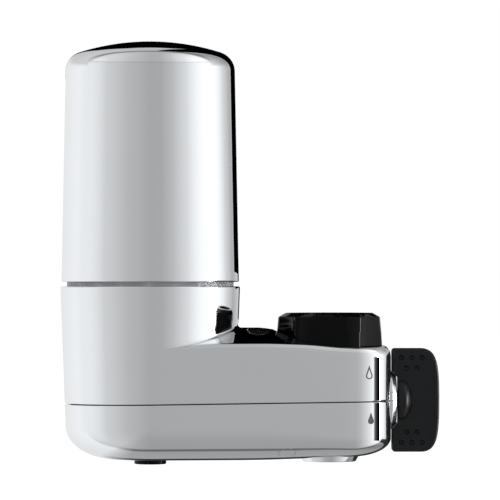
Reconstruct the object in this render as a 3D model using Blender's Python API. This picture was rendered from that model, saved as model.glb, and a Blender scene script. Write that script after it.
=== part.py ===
"""Faucet mount water filter: a chrome canister on a chrome base, a black mounting collar and a black lever.

Metres, +Z up. The front faces -Y, the canister stands at -X and the lever at +X. The origin is on the collar's
axis, in the washer's upper face, where the tap's end sits. Most pieces hang on the empty named base, whose
origin is the foot of the canister's axis, so heights below are heights above the housing's underside.
"""

import math
from functools import lru_cache

import bmesh
import bpy
from mathutils import Matrix, Vector
from mathutils.geometry import interpolate_bezier

MM = 0.001
GAP = 0.3 * MM  # between pieces that touch

# Heights along the collar's axis: wall, outlet, valve, recess, collar, seat
WALL = 2.0 * MM  # of both shells
UNDERSIDE_LIFT = 1.4 * MM  # the underside climbs this much towards the lever
OUTLET_FLANGE_THICKNESS = 2.0 * MM
OUTLET_FLANGE_BOTTOM = UNDERSIDE_LIFT + WALL + 2 * GAP
OUTLET_TOWER_BOTTOM = OUTLET_FLANGE_BOTTOM + OUTLET_FLANGE_THICKNESS + GAP
OUTLET_TOWER_HEIGHT = 3.6 * MM  # between the outlet and the valve's barrel
VALVE_RADIUS = 11.4 * MM
LEVER_HEIGHT = OUTLET_TOWER_BOTTOM + OUTLET_TOWER_HEIGHT + VALVE_RADIUS  # axis of the valve and its lever
SEAM_DEPTH = 0.6 * MM  # from that axis down to the parting line between the two shells
SEAM_HEIGHT = LEVER_HEIGHT - SEAM_DEPTH
SEAM_TILT = math.radians(0.6)  # the parting line climbs towards the lever
INLET_TOWER_HEIGHT = 3.6 * MM
INLET_TOWER_TOP = LEVER_HEIGHT + VALVE_RADIUS + INLET_TOWER_HEIGHT
RECESS_FLOOR = INLET_TOWER_TOP + GAP + WALL
COLLAR_LIFT = 0.4 * MM
COLLAR_BOTTOM = RECESS_FLOOR + COLLAR_LIFT
SEAT_RISE = 8.0 * MM
SEAT_HEIGHT = COLLAR_BOTTOM + SEAT_RISE  # upper face of the faucet washer

# Collar and what it clamps
COLLAR_HEIGHT = 13.6 * MM
COLLAR_TOP = COLLAR_BOTTOM + COLLAR_HEIGHT
COLLAR_BORE = 10.9 * MM  # takes the tap's thread
COLLAR_WALL = 8.3 * MM
COLLAR_RADIUS = COLLAR_BORE + COLLAR_WALL  # at its flared foot
COLLAR_TAPER = 0.9 * MM
COLLAR_NECK_RADIUS = COLLAR_RADIUS - COLLAR_TAPER  # under the top chamfer
COLLAR_CHAMFER = 1.5 * MM  # its height
COLLAR_CHAMFER_ACROSS = 2.7 * MM
COLLAR_TOP_RADIUS = COLLAR_NECK_RADIUS - COLLAR_CHAMFER_ACROSS
SCOOPS = 6
SCOOP_DEPTH = 2.15 * MM  # from the foot's radius
SCOOP_RADIUS = 45.0 * MM
RECESS_CLEARANCE = 1.0 * MM
RECESS_RADIUS = COLLAR_RADIUS + RECESS_CLEARANCE
RECESS_WALL = 1.2 * MM
STEM_FLANGE_CLEARANCE = 0.5 * MM
STEM_FLANGE_RADIUS = COLLAR_BORE - STEM_FLANGE_CLEARANCE
STEM_FLANGE_STEP = 2.1 * MM
STEM_RADIUS = STEM_FLANGE_RADIUS - STEM_FLANGE_STEP
STEM_BORE = 6.0 * MM
STEM_FLANGE_THICKNESS = 2.3 * MM
WASHER_THICKNESS = 2.0 * MM
SCREEN_LEDGE = 1.1 * MM
SCREEN_RADIUS = STEM_BORE + SCREEN_LEDGE
SCREEN_THICKNESS = 0.8 * MM
SCREEN_HOLE = 0.9 * MM
SCREEN_CIRCLE = 3.4 * MM

# Housing: a round cup with an arm
CUP_HEIGHT = 62.1 * MM
CUP_RADIUS = 32.3 * MM  # at its mouth
CUP_DRAFT = math.radians(2.06)
DECK_LENGTH = 10.7 * MM  # from the cup's mouth to the collar's recess
AXIS_SPACING = CUP_RADIUS + DECK_LENGTH + RECESS_WALL + RECESS_RADIUS  # canister's axis to collar's axis
ARM_END_MARGIN = 0.5 * MM  # beyond the recess
ARM_SIDE_MARGIN = 0.6 * MM
ARM_REACH = AXIS_SPACING + RECESS_RADIUS + RECESS_WALL + ARM_END_MARGIN  # to the arm's end face
ARM_HALF_WIDTH = RECESS_RADIUS + RECESS_WALL + ARM_SIDE_MARGIN  # at the collar
ARM_CORNER = 14.5 * MM
UNDERSIDE_REACH = 18.0 * MM  # how far the lower edge is rounded inwards, at the cup
UNDERSIDE_RISE = 12.0 * MM  # and how high
END_UNDERSIDE_REACH = 14.0 * MM
END_UNDERSIDE_RISE = 6.5 * MM

# Deck: the crowned top of the arm, which steps down round the collar
DECK_DROP = 5.5 * MM  # from the seat down to the deck's edge
DECK_EDGE_HEIGHT = SEAT_HEIGHT - DECK_DROP
DECK_CROWN = 5.8 * MM
DECK_CROWN_AT_COLLAR = 0.5 * MM
DECK_STEP = 2.0 * MM
DECK_TOE_DROP = 1.7 * MM  # the deck's edge dips where it leaves the cup
DECK_ROUND_ACROSS = 2.8 * MM
DECK_ROUND_DOWN = 2.6 * MM
END_ROUND_DOWN = 4.3 * MM
COVE = 1.2 * MM  # inner fillet between deck and cup

# Valve
VALVE_BEHIND = 14.4 * MM  # from the collar's axis back towards the canister
VALVE_START = AXIS_SPACING - VALVE_BEHIND
VALVE_END_MARGIN = 4.3 * MM  # from the barrel to the arm's end wall
VALVE_END = ARM_REACH - WALL - VALVE_END_MARGIN
VALVE_END_WALL = 4.0 * MM
BONNET_THREAD_WALL = 1.8 * MM
BONNET_THREAD_RADIUS = VALVE_RADIUS - BONNET_THREAD_WALL
BONNET_FLANGE = 2.0 * MM
PLUG_STEP = 2.0 * MM
PLUG_RADIUS = BONNET_THREAD_RADIUS - PLUG_STEP
STEM_LEDGE = 1.4 * MM  # between the plug and the stem
STEM_BOTTOM = LEVER_HEIGHT + PLUG_RADIUS + STEM_LEDGE
SPINDLE_RADIUS = 5.0 * MM
SPINDLE_TIP_RADIUS = 3.0 * MM
TOWER_RADIUS = VALVE_RADIUS - 0.4 * MM
OUTLET_TOWER_RADIUS = 9.0 * MM
PORT_RADIUS = 4.5 * MM
BOSS_RADIUS = 10.4 * MM
BOSS_TIP_RADIUS = 8.7 * MM
BOSS_LENGTH = 2.1 * MM
SEAL_SECTION = 0.65 * MM

# Lever
LEVER_CLEARANCE = 0.5 * MM  # to the arm's end face
LEVER_WIDTH = 17.1 * MM
LEVER_HALF_HEIGHT = 18.6 * MM
LEVER_THICKNESS = 8.4 * MM
LEVER_EDGE = 1.2 * MM
HUB_RADIUS = 8.3 * MM
HUB_START = 2.9 * MM  # from the arm's end face
HUB_RIM = 1.5 * MM
HUB_DOME = 4.3 * MM
HUB_RELIEF = 1.5 * MM  # how far the paddle is cut back round the boss
DIMPLE_RADIUS = 0.95 * MM
DIMPLE_DEPTH = 0.5 * MM
DIMPLE_PITCH = 3.75 * MM
DIMPLE_INSET = 3.4 * MM  # from the paddle's inner and end edges

# Cartridge
CANISTER_LIFT = 1.6 * MM  # the gap over the cup's mouth
CANISTER_HEIGHT = 86.4 * MM
CANISTER_BOTTOM = CUP_HEIGHT + CANISTER_LIFT
CANISTER_TOP = CANISTER_BOTTOM + CANISTER_HEIGHT
CANISTER_STEP = 0.4 * MM  # its foot lies this far inside the cup's mouth
CANISTER_TAPER = 1.45 * MM
CANISTER_FOOT_RADIUS = CUP_RADIUS - CANISTER_STEP
CANISTER_SHOULDER_RADIUS = CANISTER_FOOT_RADIUS - CANISTER_TAPER
CANISTER_CORNER = 7.0 * MM
CANISTER_CROWN_RADIUS = 84.0 * MM
CANISTER_WALL = 1.5 * MM
VESSEL_WALL = 2.0 * MM
NECK_RING_RADIUS = CUP_RADIUS - WALL - GAP
NECK_RING_THICKNESS = 4.0 * MM
NECK_RING_BOTTOM = CUP_HEIGHT - 0.1 * MM
NECK_RING_TOP = NECK_RING_BOTTOM + NECK_RING_THICKNESS
REGISTER_STEP = 1.6 * MM
REGISTER_RADIUS = NECK_RING_RADIUS - REGISTER_STEP
REGISTER_THICKNESS = 2.0 * MM
REGISTER_BOTTOM = NECK_RING_BOTTOM - REGISTER_THICKNESS
NECK_STEP = 6.4 * MM
NECK_RADIUS = REGISTER_RADIUS - NECK_STEP
NECK_LENGTH = 9.7 * MM
NECK_BOTTOM = REGISTER_BOTTOM - NECK_LENGTH
NECK_WALL = 2.0 * MM
SPIGOT_RADIUS = 6.5 * MM
SPIGOT_BORE = 4.1 * MM
SPIGOT_REACH = 6.3 * MM  # below the neck
SPIGOT_BOTTOM = NECK_BOTTOM - SPIGOT_REACH
SLEEVE_THICKNESS = 0.8 * MM
CAP_THICKNESS = 2.2 * MM
CAP_FOOT = 3.9 * MM
CAP_SKIRT = 4.0 * MM
CAP_WALL = 1.2 * MM
FLOW_GAP = 2.55 * MM  # for the water between the caps and the vessel
CAP_RADIUS = CANISTER_SHOULDER_RADIUS - CANISTER_WALL - GAP - VESSEL_WALL - FLOW_GAP
BLOCK_RADIUS = CAP_RADIUS - CAP_WALL - GAP - SLEEVE_THICKNESS - GAP
BLOCK_BORE = 5.0 * MM
BLOCK_BOTTOM = NECK_RING_TOP + GAP + CAP_FOOT + GAP
BLOCK_HEADROOM = 14.1 * MM
BLOCK_TOP = CANISTER_TOP - BLOCK_HEADROOM

# Cartridge socket, feed tube and filtered nozzle
SOCKET_WALL = 1.7 * MM
SOCKET_FLOOR = 2.0 * MM
OUTLET_TUBE_RADIUS = 3.2 * MM
OUTLET_TUBE_BORE = 2.0 * MM
OUTLET_TUBE_BOTTOM = 6.0 * MM
FEED_RADIUS = 3.0 * MM
FEED_BORE = 2.0 * MM
# The feed tube enters the socket's floor between the spigot's well and the neck's wall
FEED_X = (SPIGOT_RADIUS + SOCKET_WALL + NECK_RADIUS) / 2 - 0.6 * MM
NOZZLE_RADIUS = 5.8 * MM
NOZZLE_BOTTOM = -1.8 * MM
NOZZLE_FLANGE_RADIUS = 8.0 * MM
NOZZLE_TOP = 12.0 * MM
NOZZLE_RIM = 1.2 * MM

# Bypass outlet
OUTLET_RADIUS = 10.8 * MM
OUTLET_BOTTOM = -0.8 * MM
OUTLET_BORE = 9.5 * MM
OUTLET_LIP = 0.9 * MM
OUTLET_FLANGE_RADIUS = 12.0 * MM
SPRAY_THICKNESS = 1.6 * MM
SPRAY_CENTRE_HOLE = 2.2 * MM
SPRAY_HOLE = 0.5 * MM
SPRAY_INNER_CIRCLE = 4.6 * MM
SPRAY_OUTER_CIRCLE = 6.8 * MM

# Status indicator
LENS_OFFSET = 6.5 * MM  # from the cup's mouth
LENS_X = CUP_RADIUS + LENS_OFFSET
LENS_SIDE_MARGIN = 12.0 * MM  # from the arm's side
LENS_Y = LENS_SIDE_MARGIN - ARM_HALF_WIDTH
LENS_HALF_WIDTH = 4.0 * MM
LENS_HALF_LENGTH = 7.0 * MM
LENS_BOTTOM = DECK_EDGE_HEIGHT + 1.5 * MM
LENS_PROUD = 0.15 * MM
SKIRT_WALL = 1.1 * MM
SKIRT_BOTTOM = DECK_EDGE_HEIGHT - 5.0 * MM
BOARD_THICKNESS = 1.0 * MM
LED_HEIGHT = 0.9 * MM
LED_RADIUS = 1.2 * MM
CELL_RADIUS = 3.6 * MM

# Release button, at the back of the cup
BUTTON_DROP = 10.1 * MM  # from the cup's mouth down to its middle
BUTTON_HEIGHT_Z = CUP_HEIGHT - BUTTON_DROP
BUTTON_HALF_WIDTH = 7.0 * MM
BUTTON_HALF_HEIGHT = 4.2 * MM
BUTTON_PROUD = 0.6 * MM
BUTTON_FLANGE = 1.0 * MM
BUTTON_FLANGE_MARGIN = 1.5 * MM
SPRING_RADIUS = 2.4 * MM
SPRING_WIRE = 0.25 * MM
SPRING_TURNS = 2

# Screws between the shells
SCREW_POST_RADIUS = 4.2 * MM
SCREW_HEAD_RADIUS = 2.8 * MM
SCREW_HEAD_BOTTOM = 9.0 * MM
SCREW_HEAD_HEIGHT = 2.0 * MM
SCREW_RADIUS = 1.4 * MM
SCREW_BITE = 9.3 * MM  # above the seam
SCREW_TOP = SEAM_HEIGHT + SCREW_BITE
SCREW_POST_CLEARANCE = 3.0 * MM  # under the cartridge's socket
SCREW_MARGIN = 6.6 * MM  # from the cup's wall
SCREW_SIDE_MARGIN = 3.2 * MM  # from the arm's side
SCREW_BEHIND = 15.4 * MM  # from the collar's axis back towards the canister
# Each screw's place in plan, with the top of its post
SCREW_PLACES = (
    (SCREW_MARGIN - CUP_RADIUS, 0.0, NECK_BOTTOM - GAP - SOCKET_FLOOR - SCREW_POST_CLEARANCE),
    (AXIS_SPACING - SCREW_BEHIND, SCREW_SIDE_MARGIN - ARM_HALF_WIDTH, SEAT_HEIGHT),
    (AXIS_SPACING - SCREW_BEHIND, ARM_HALF_WIDTH - SCREW_SIDE_MARGIN, SEAT_HEIGHT),
)

# Faces round each form
SIDE_STEPS = 5
CORNER_STEPS = 5
END_STEPS = 2
CUP_STEPS = 18
FINE = 36
MEDIUM = 20
SMALL = 14


def smoothstep(value, start, end):
    share = min(1.0, max(0.0, (value - start) / (end - start)))
    return share * share * (3 - 2 * share)


def material(name, colour, metallic, roughness):
    made = bpy.data.materials.new(name)
    made.use_nodes = True
    shader = made.node_tree.nodes["Principled BSDF"]
    shader.inputs["Base Color"].default_value = (*colour, 1.0)
    shader.inputs["Metallic"].default_value = metallic
    shader.inputs["Roughness"].default_value = roughness
    return made


def empty(name, location, parent=None):
    made = bpy.data.objects.new(name, None)
    bpy.context.scene.collection.objects.link(made)
    made.location = location
    made.parent = parent
    return made


def finished(name, bm, finish, parent):
    """The bmesh as an object, its faces turned outwards and its round sides shaded smooth."""
    bmesh.ops.recalc_face_normals(bm, faces=bm.faces)
    mesh = bpy.data.meshes.new(name)
    bm.to_mesh(mesh)
    bm.free()
    mesh.shade_smooth()
    mesh.set_sharp_from_angle(angle=math.radians(30))
    if finish:
        mesh.materials.append(finish)
    made = bpy.data.objects.new(name, mesh)
    bpy.context.scene.collection.objects.link(made)
    made.parent = parent
    return made


def arc(centre, radius, start, end, steps):
    """Points on an arc in the plane of a profile, from start to end in degrees."""
    angles = [math.radians(start + (end - start) * i / steps) for i in range(steps + 1)]
    return [(centre[0] + radius * math.cos(a), centre[1] + radius * math.sin(a)) for a in angles]


def spin_profile(bm, profile, steps):
    """Spins (radius, height) points once round Z. A profile that leaves the axis free is closed into a ring."""
    verts = [bm.verts.new((radius, 0, height)) for radius, height in profile]
    loop = verts if profile[0][0] == profile[-1][0] == 0 else verts + verts[:1]
    edges = [bm.edges.new(pair) for pair in zip(loop, loop[1:])]
    bmesh.ops.spin(
        bm,
        geom=verts + edges,
        cent=(0, 0, 0),
        axis=(0, 0, 1),
        angle=math.tau,
        steps=steps,
        use_merge=True,
    )
    bmesh.ops.remove_doubles(bm, verts=bm.verts, dist=1e-7)


def turned(name, profile, steps, finish, parent, location=(0, 0, 0), along_x=False):
    """A turned piece. Along X, a profile's heights become distances along the arm."""
    bm = bmesh.new()
    spin_profile(bm, profile, steps)
    made = finished(name, bm, finish, parent)
    made.location = location
    if along_x:
        made.rotation_euler = (0, math.pi / 2, 0)
    return made


def tube_profile(bore, radius, bottom, top):
    return [(bore, bottom), (radius, bottom), (radius, top), (bore, top)]


def rod_profile(radius, bottom, top):
    return [(0, bottom), (radius, bottom), (radius, top), (0, top)]


def seal_profile(radius, height):
    """The round section of an O-ring."""
    return arc((radius, height), SEAL_SECTION, 0, 360, 5)[:-1]


def prism(name, outline, low, high, finish, parent, upright=True):
    """An outline extruded along Z, or along Y when it isn't upright."""
    bm = bmesh.new()
    if upright:
        verts = [bm.verts.new((a, b, low)) for a, b in outline]
        travel = Vector((0, 0, high - low))
    else:
        verts = [bm.verts.new((a, low, b)) for a, b in outline]
        travel = Vector((0, high - low, 0))
    face = bm.faces.new(verts)
    extruded = bmesh.ops.extrude_face_region(bm, geom=[face])["geom"]
    moved = [item for item in extruded if isinstance(item, bmesh.types.BMVert)]
    bmesh.ops.translate(bm, verts=moved, vec=travel)
    return finished(name, bm, finish, parent)


def oval(centre, half_width, half_length, steps):
    angles = [math.tau * i / steps for i in range(steps)]
    return [
        (centre[0] + half_width * math.cos(a), centre[1] + half_length * math.sin(a)) for a in angles
    ]


def stadium(half_width, half_height, steps):
    """A slot's outline, longer across than it is high."""
    straight = half_width - half_height
    right = arc((straight, 0), half_height, -90, 90, steps)
    return right + [(-x, -y) for x, y in right]


def block(name, low, high, parent):
    """A box between two corners, used as a cutter."""
    outline = [(low[0], low[1]), (high[0], low[1]), (high[0], high[1]), (low[0], high[1])]
    return prism(name, outline, low[2], high[2], None, parent)


def as_tool(tool):
    tool.hide_render = True
    tool.display_type = "WIRE"


def combine(target, operation, *tools, solver="EXACT"):
    """Adds a Boolean modifier for each tool and hides the tool."""
    for tool in tools:
        modifier = target.modifiers.new(f"{operation.lower()} {tool.name}", "BOOLEAN")
        modifier.operation = operation
        modifier.solver = solver
        modifier.object = tool
        as_tool(tool)


def drilled_circle(name, parent, radius, bottom, top, count, circle, sides=8):
    """A ring of like drills in one cutter."""
    bm = bmesh.new()
    for i in range(count):
        angle = math.tau * i / count
        place = Matrix.Translation((circle * math.cos(angle), circle * math.sin(angle), (bottom + top) / 2))
        bmesh.ops.create_cone(
            bm,
            cap_ends=True,
            segments=sides,
            radius1=radius,
            radius2=radius,
            depth=top - bottom,
            matrix=place,
        )
    return finished(name, bm, None, parent)


def cup_radius(height):
    return CUP_RADIUS - (CUP_HEIGHT - height) * math.tan(CUP_DRAFT)


def facing(angle, centre, radius):
    """A point of a plan circle. Angle 0 faces the front, a quarter turn the arm's end."""
    return Vector((centre[0] + radius * math.sin(angle), centre[1] - radius * math.cos(angle)))


def side_tilt(radius, corner):
    """How far the arm's side leans in, so that it is tangent to the cup and to the end's corner."""
    reach = ARM_REACH - ARM_CORNER
    offset = ARM_HALF_WIDTH - ARM_CORNER
    return math.asin((radius - corner) / math.hypot(reach, offset)) - math.atan2(offset, reach)


def evenly_seen(start, end, steps):
    """Points from start towards end, at even angles as seen from the canister's axis."""
    run = end - start
    points = []
    for i in range(steps):
        angle = math.atan2(start.y, start.x)
        angle += (math.atan2(end.y, end.x) - angle) * i / steps
        sight = Vector((math.cos(angle), math.sin(angle)))
        points.append(start - run * (sight.cross(start) / sight.cross(run)))
    return points


@lru_cache(maxsize=None)
def housing_outline(height, inset):
    """The housing's plan at a height, counter-clockwise from where its front side leaves the cup.

    The arm's columns come first, up to where the back side meets the cup, then the cup's own.
    """
    radius = cup_radius(height) - inset
    corner = ARM_CORNER - inset
    centre = (ARM_REACH - ARM_CORNER, ARM_CORNER - ARM_HALF_WIDTH)
    tilt = side_tilt(radius, corner)
    start = facing(tilt, (0, 0), radius)
    end = facing(tilt, centre, corner)
    front = evenly_seen(start, end, SIDE_STEPS)
    front += [
        facing(tilt + (math.pi / 2 - tilt) * i / CORNER_STEPS, centre, corner)
        for i in range(CORNER_STEPS + 1)
    ]
    back = [Vector((p.x, -p.y)) for p in reversed(front)]
    middle = [front[-1].lerp(back[0], i / END_STEPS) for i in range(1, END_STEPS)]
    cup = [
        facing(math.pi - tilt + (math.pi + 2 * tilt) * i / CUP_STEPS, (0, 0), radius)
        for i in range(1, CUP_STEPS)
    ]
    return front + middle + back + cup


ARM_COLUMNS = 2 * (SIDE_STEPS + CORNER_STEPS + 1) + END_STEPS - 1
COLUMNS = ARM_COLUMNS + CUP_STEPS - 1
SIDE_ROWS = 1
OUTER_ROWS = (4, 5)  # round the lower edge, and up the deck
INNER_ROWS = (3, 2)
DECK_ROUND_STEPS = 3
DECK_ROUND_TURN = math.radians(70)
CUP_ROWS = 1


def deck_half_width(x):
    radius = cup_radius(DECK_EDGE_HEIGHT)
    tilt = side_tilt(radius, ARM_CORNER)
    return max(ARM_HALF_WIDTH, radius / math.cos(tilt) - x * math.tan(tilt))


def deck_height(x, y):
    """Height of the deck's skin over a point of the plan."""
    toe_end = 0.8 * cup_radius(DECK_EDGE_HEIGHT)
    edge = DECK_EDGE_HEIGHT - DECK_TOE_DROP * (1 - smoothstep(x, 0, toe_end))
    edge -= DECK_STEP * smoothstep(x, AXIS_SPACING - 0.5 * RECESS_RADIUS, AXIS_SPACING + 0.5 * RECESS_RADIUS)
    fall = smoothstep(x, AXIS_SPACING - 1.3 * RECESS_RADIUS, AXIS_SPACING + 0.1 * RECESS_RADIUS)
    crown = DECK_CROWN + (DECK_CROWN_AT_COLLAR - DECK_CROWN) * fall
    across = min(1.0, abs(y) / deck_half_width(x))
    return edge + crown * (1 - across * across)


def underside_height(x):
    return UNDERSIDE_LIFT * smoothstep(x, 0.5 * AXIS_SPACING, ARM_REACH)


def underside_round(x):
    """How far in and how high the lower edge's rounding reaches, at a place along the arm."""
    share = smoothstep(x, CUP_RADIUS, ARM_REACH)
    across = UNDERSIDE_REACH + (END_UNDERSIDE_REACH - UNDERSIDE_REACH) * share
    rise = UNDERSIDE_RISE + (END_UNDERSIDE_RISE - UNDERSIDE_RISE) * share
    return across, rise


def towards_middle(point, distance):
    """Moves a plan point in, square to the line that joins the two axes, and no further than that line."""
    middle = Vector((min(max(point.x, 0), AXIS_SPACING), 0))
    inwards = middle - point
    return point + inwards * min(1.0, distance / inwards.length)


def lower_rows(column, inset, steps):
    """From the underside's middle line out to where the side begins."""
    foot = housing_outline(UNDERSIDE_RISE, inset)[column]
    across, rise = underside_round(foot.x)
    middle = towards_middle(foot, math.inf)
    rows = [Vector((*middle, underside_height(middle.x) + inset))]
    for step in range(steps + 1):
        turn = math.pi / 2 * (1 - step / steps)
        point = towards_middle(foot, (across - inset) * (1 - math.cos(turn)))
        height = underside_height(point.x) + inset + (rise - inset) * (1 - math.sin(turn))
        rows.append(Vector((*point, height)))
    return rows


def arm_rows(column, inset, steps):
    """The deck's rounded edge, the deck and its cove, from the side's top to the cup."""
    edge = housing_outline(DECK_EDGE_HEIGHT, inset)[column]
    start = housing_outline(DECK_EDGE_HEIGHT, inset)[0]
    share = smoothstep(edge.x, start.x, start.x + CUP_RADIUS / 2)
    end_share = smoothstep(edge.x, ARM_REACH - ARM_CORNER, ARM_REACH)
    across = max(DECK_ROUND_ACROSS - inset, GAP) * share
    down = max(DECK_ROUND_DOWN + (END_ROUND_DOWN - DECK_ROUND_DOWN) * end_share - inset, GAP) * share
    inner = towards_middle(edge, across * (1 - math.cos(DECK_ROUND_TURN)))
    top = deck_height(inner.x, inner.y) - inset
    rows = []
    for step in range(DECK_ROUND_STEPS + 1):
        turn = DECK_ROUND_TURN * step / DECK_ROUND_STEPS
        point = towards_middle(edge, across * (1 - math.cos(turn)))
        rows.append(Vector((*point, top - down * (math.sin(DECK_ROUND_TURN) - math.sin(turn)))))
    cove = COVE * share
    outwards = edge.normalized()
    meeting = outwards * (cup_radius(DECK_EDGE_HEIGHT) - inset)
    landing = meeting + outwards * cove
    for step in range(1, steps + 1):
        point = inner.lerp(landing, step / steps)
        rows.append(Vector((*point, deck_height(point.x, point.y) - inset)))
    base = rows[-1].z
    slack = 1 - math.sqrt(0.5)
    rows.append(Vector((*(meeting + outwards * cove * slack), base + cove * slack)))
    rows.append(Vector((*meeting, base + cove)))
    return rows


def housing_columns(inset, top, steps):
    """Each column's points, in three lists: up the side, over the deck and up the cup."""
    round_steps, deck_steps = steps
    columns = []
    toe = arm_rows(0, inset, deck_steps)[0].z
    for column in range(COLUMNS):
        rows = lower_rows(column, inset, round_steps)
        arm = arm_rows(column, inset, deck_steps) if column < ARM_COLUMNS else []
        if column in (0, ARM_COLUMNS - 1):
            arm = arm[:1] * len(arm)
        side_top = arm[0].z if arm else toe
        side_bottom = rows[-1].z
        for row in range(1, SIDE_ROWS + 1):
            height = side_bottom + (side_top - side_bottom) * row / SIDE_ROWS
            rows.append(Vector((*housing_outline(height, inset)[column], height)))
        if arm:
            rows[-1] = arm[0]
        outwards = housing_outline(DECK_EDGE_HEIGHT, inset)[column].normalized()
        foot = arm[-1].z if arm else toe
        cup = []
        for row in range(1, CUP_ROWS + 1):
            height = foot + (top - foot) * row / CUP_ROWS
            cup.append(Vector((*(outwards * (cup_radius(height) - inset)), height)))
        columns.append((rows, arm[1:], cup))
    return columns


def housing_solid(name, inset, top, parent, steps=INNER_ROWS):
    """The whole housing as one closed solid, its skin moved in by inset."""
    bm = bmesh.new()
    placed = {}

    def vert(point):
        key = tuple(round(value / MM, 4) for value in point)
        if key not in placed:
            placed[key] = bm.verts.new(point)
        return placed[key]

    columns = [
        [[vert(point) for point in part] for part in parts]
        for parts in housing_columns(inset, top, steps)
    ]
    for column, (side, arm, cup) in enumerate(columns):
        next_side, next_arm, next_cup = columns[(column + 1) % COLUMNS]
        over_deck = column < ARM_COLUMNS - 1
        here = side + (arm if over_deck else []) + cup
        there = next_side + (next_arm if over_deck else []) + next_cup
        for low, high in zip(zip(here, there), zip(here[1:], there[1:])):
            corners = list(dict.fromkeys((low[0], low[1], high[1], high[0])))
            if len(corners) > 2:
                bm.faces.new(corners)
    bm.faces.new([cup[-1] for _, _, cup in columns])
    return finished(name, bm, None, parent)


def boss_profile():
    """The round boss on the arm's end face, split by the seam."""
    start = ARM_REACH - WALL
    tip = ARM_REACH + BOSS_LENGTH
    edge = (BOSS_RADIUS - BOSS_TIP_RADIUS) / 2
    return [
        (0, start),
        (BOSS_RADIUS, start),
        (BOSS_RADIUS, ARM_REACH + BOSS_LENGTH / 3),
        (BOSS_TIP_RADIUS + edge, tip - BOSS_LENGTH / 5),
        (BOSS_TIP_RADIUS, tip),
        (0, tip),
    ]


def button_outline(margin):
    return stadium(BUTTON_HALF_WIDTH + margin, BUTTON_HALF_HEIGHT + margin, 8)


def housing_tools(base):
    """The solids that shape both shells, and those that cut them."""
    skin = housing_solid("under_skin", WALL / 2, CUP_HEIGHT - WALL, base)
    boss = turned("end_boss", boss_profile(), MEDIUM, None, base, (0, 0, LEVER_HEIGHT), True)
    well = turned(
        "recess_well",
        rod_profile(RECESS_RADIUS + RECESS_WALL, RECESS_FLOOR - WALL, CUP_HEIGHT),
        FINE,
        None,
        base,
        (AXIS_SPACING, 0, 0),
    )
    skirt_outline = oval(
        (LENS_X, LENS_Y),
        LENS_HALF_WIDTH + GAP + SKIRT_WALL,
        LENS_HALF_LENGTH + GAP + SKIRT_WALL,
        SMALL,
    )
    skirt = prism("lens_skirt", skirt_outline, SKIRT_BOTTOM, CUP_HEIGHT, None, base)
    posts = [
        turned(
            f"screw_post_{i}",
            rod_profile(SCREW_POST_RADIUS, -WALL, post_top),
            10,
            None,
            base,
            (x, y, 0),
        )
        for i, (x, y, post_top) in enumerate(SCREW_PLACES, 1)
    ]
    for tool in (well, skirt, *posts):
        combine(tool, "INTERSECT", skin)
    return boss, well, skirt, posts


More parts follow.
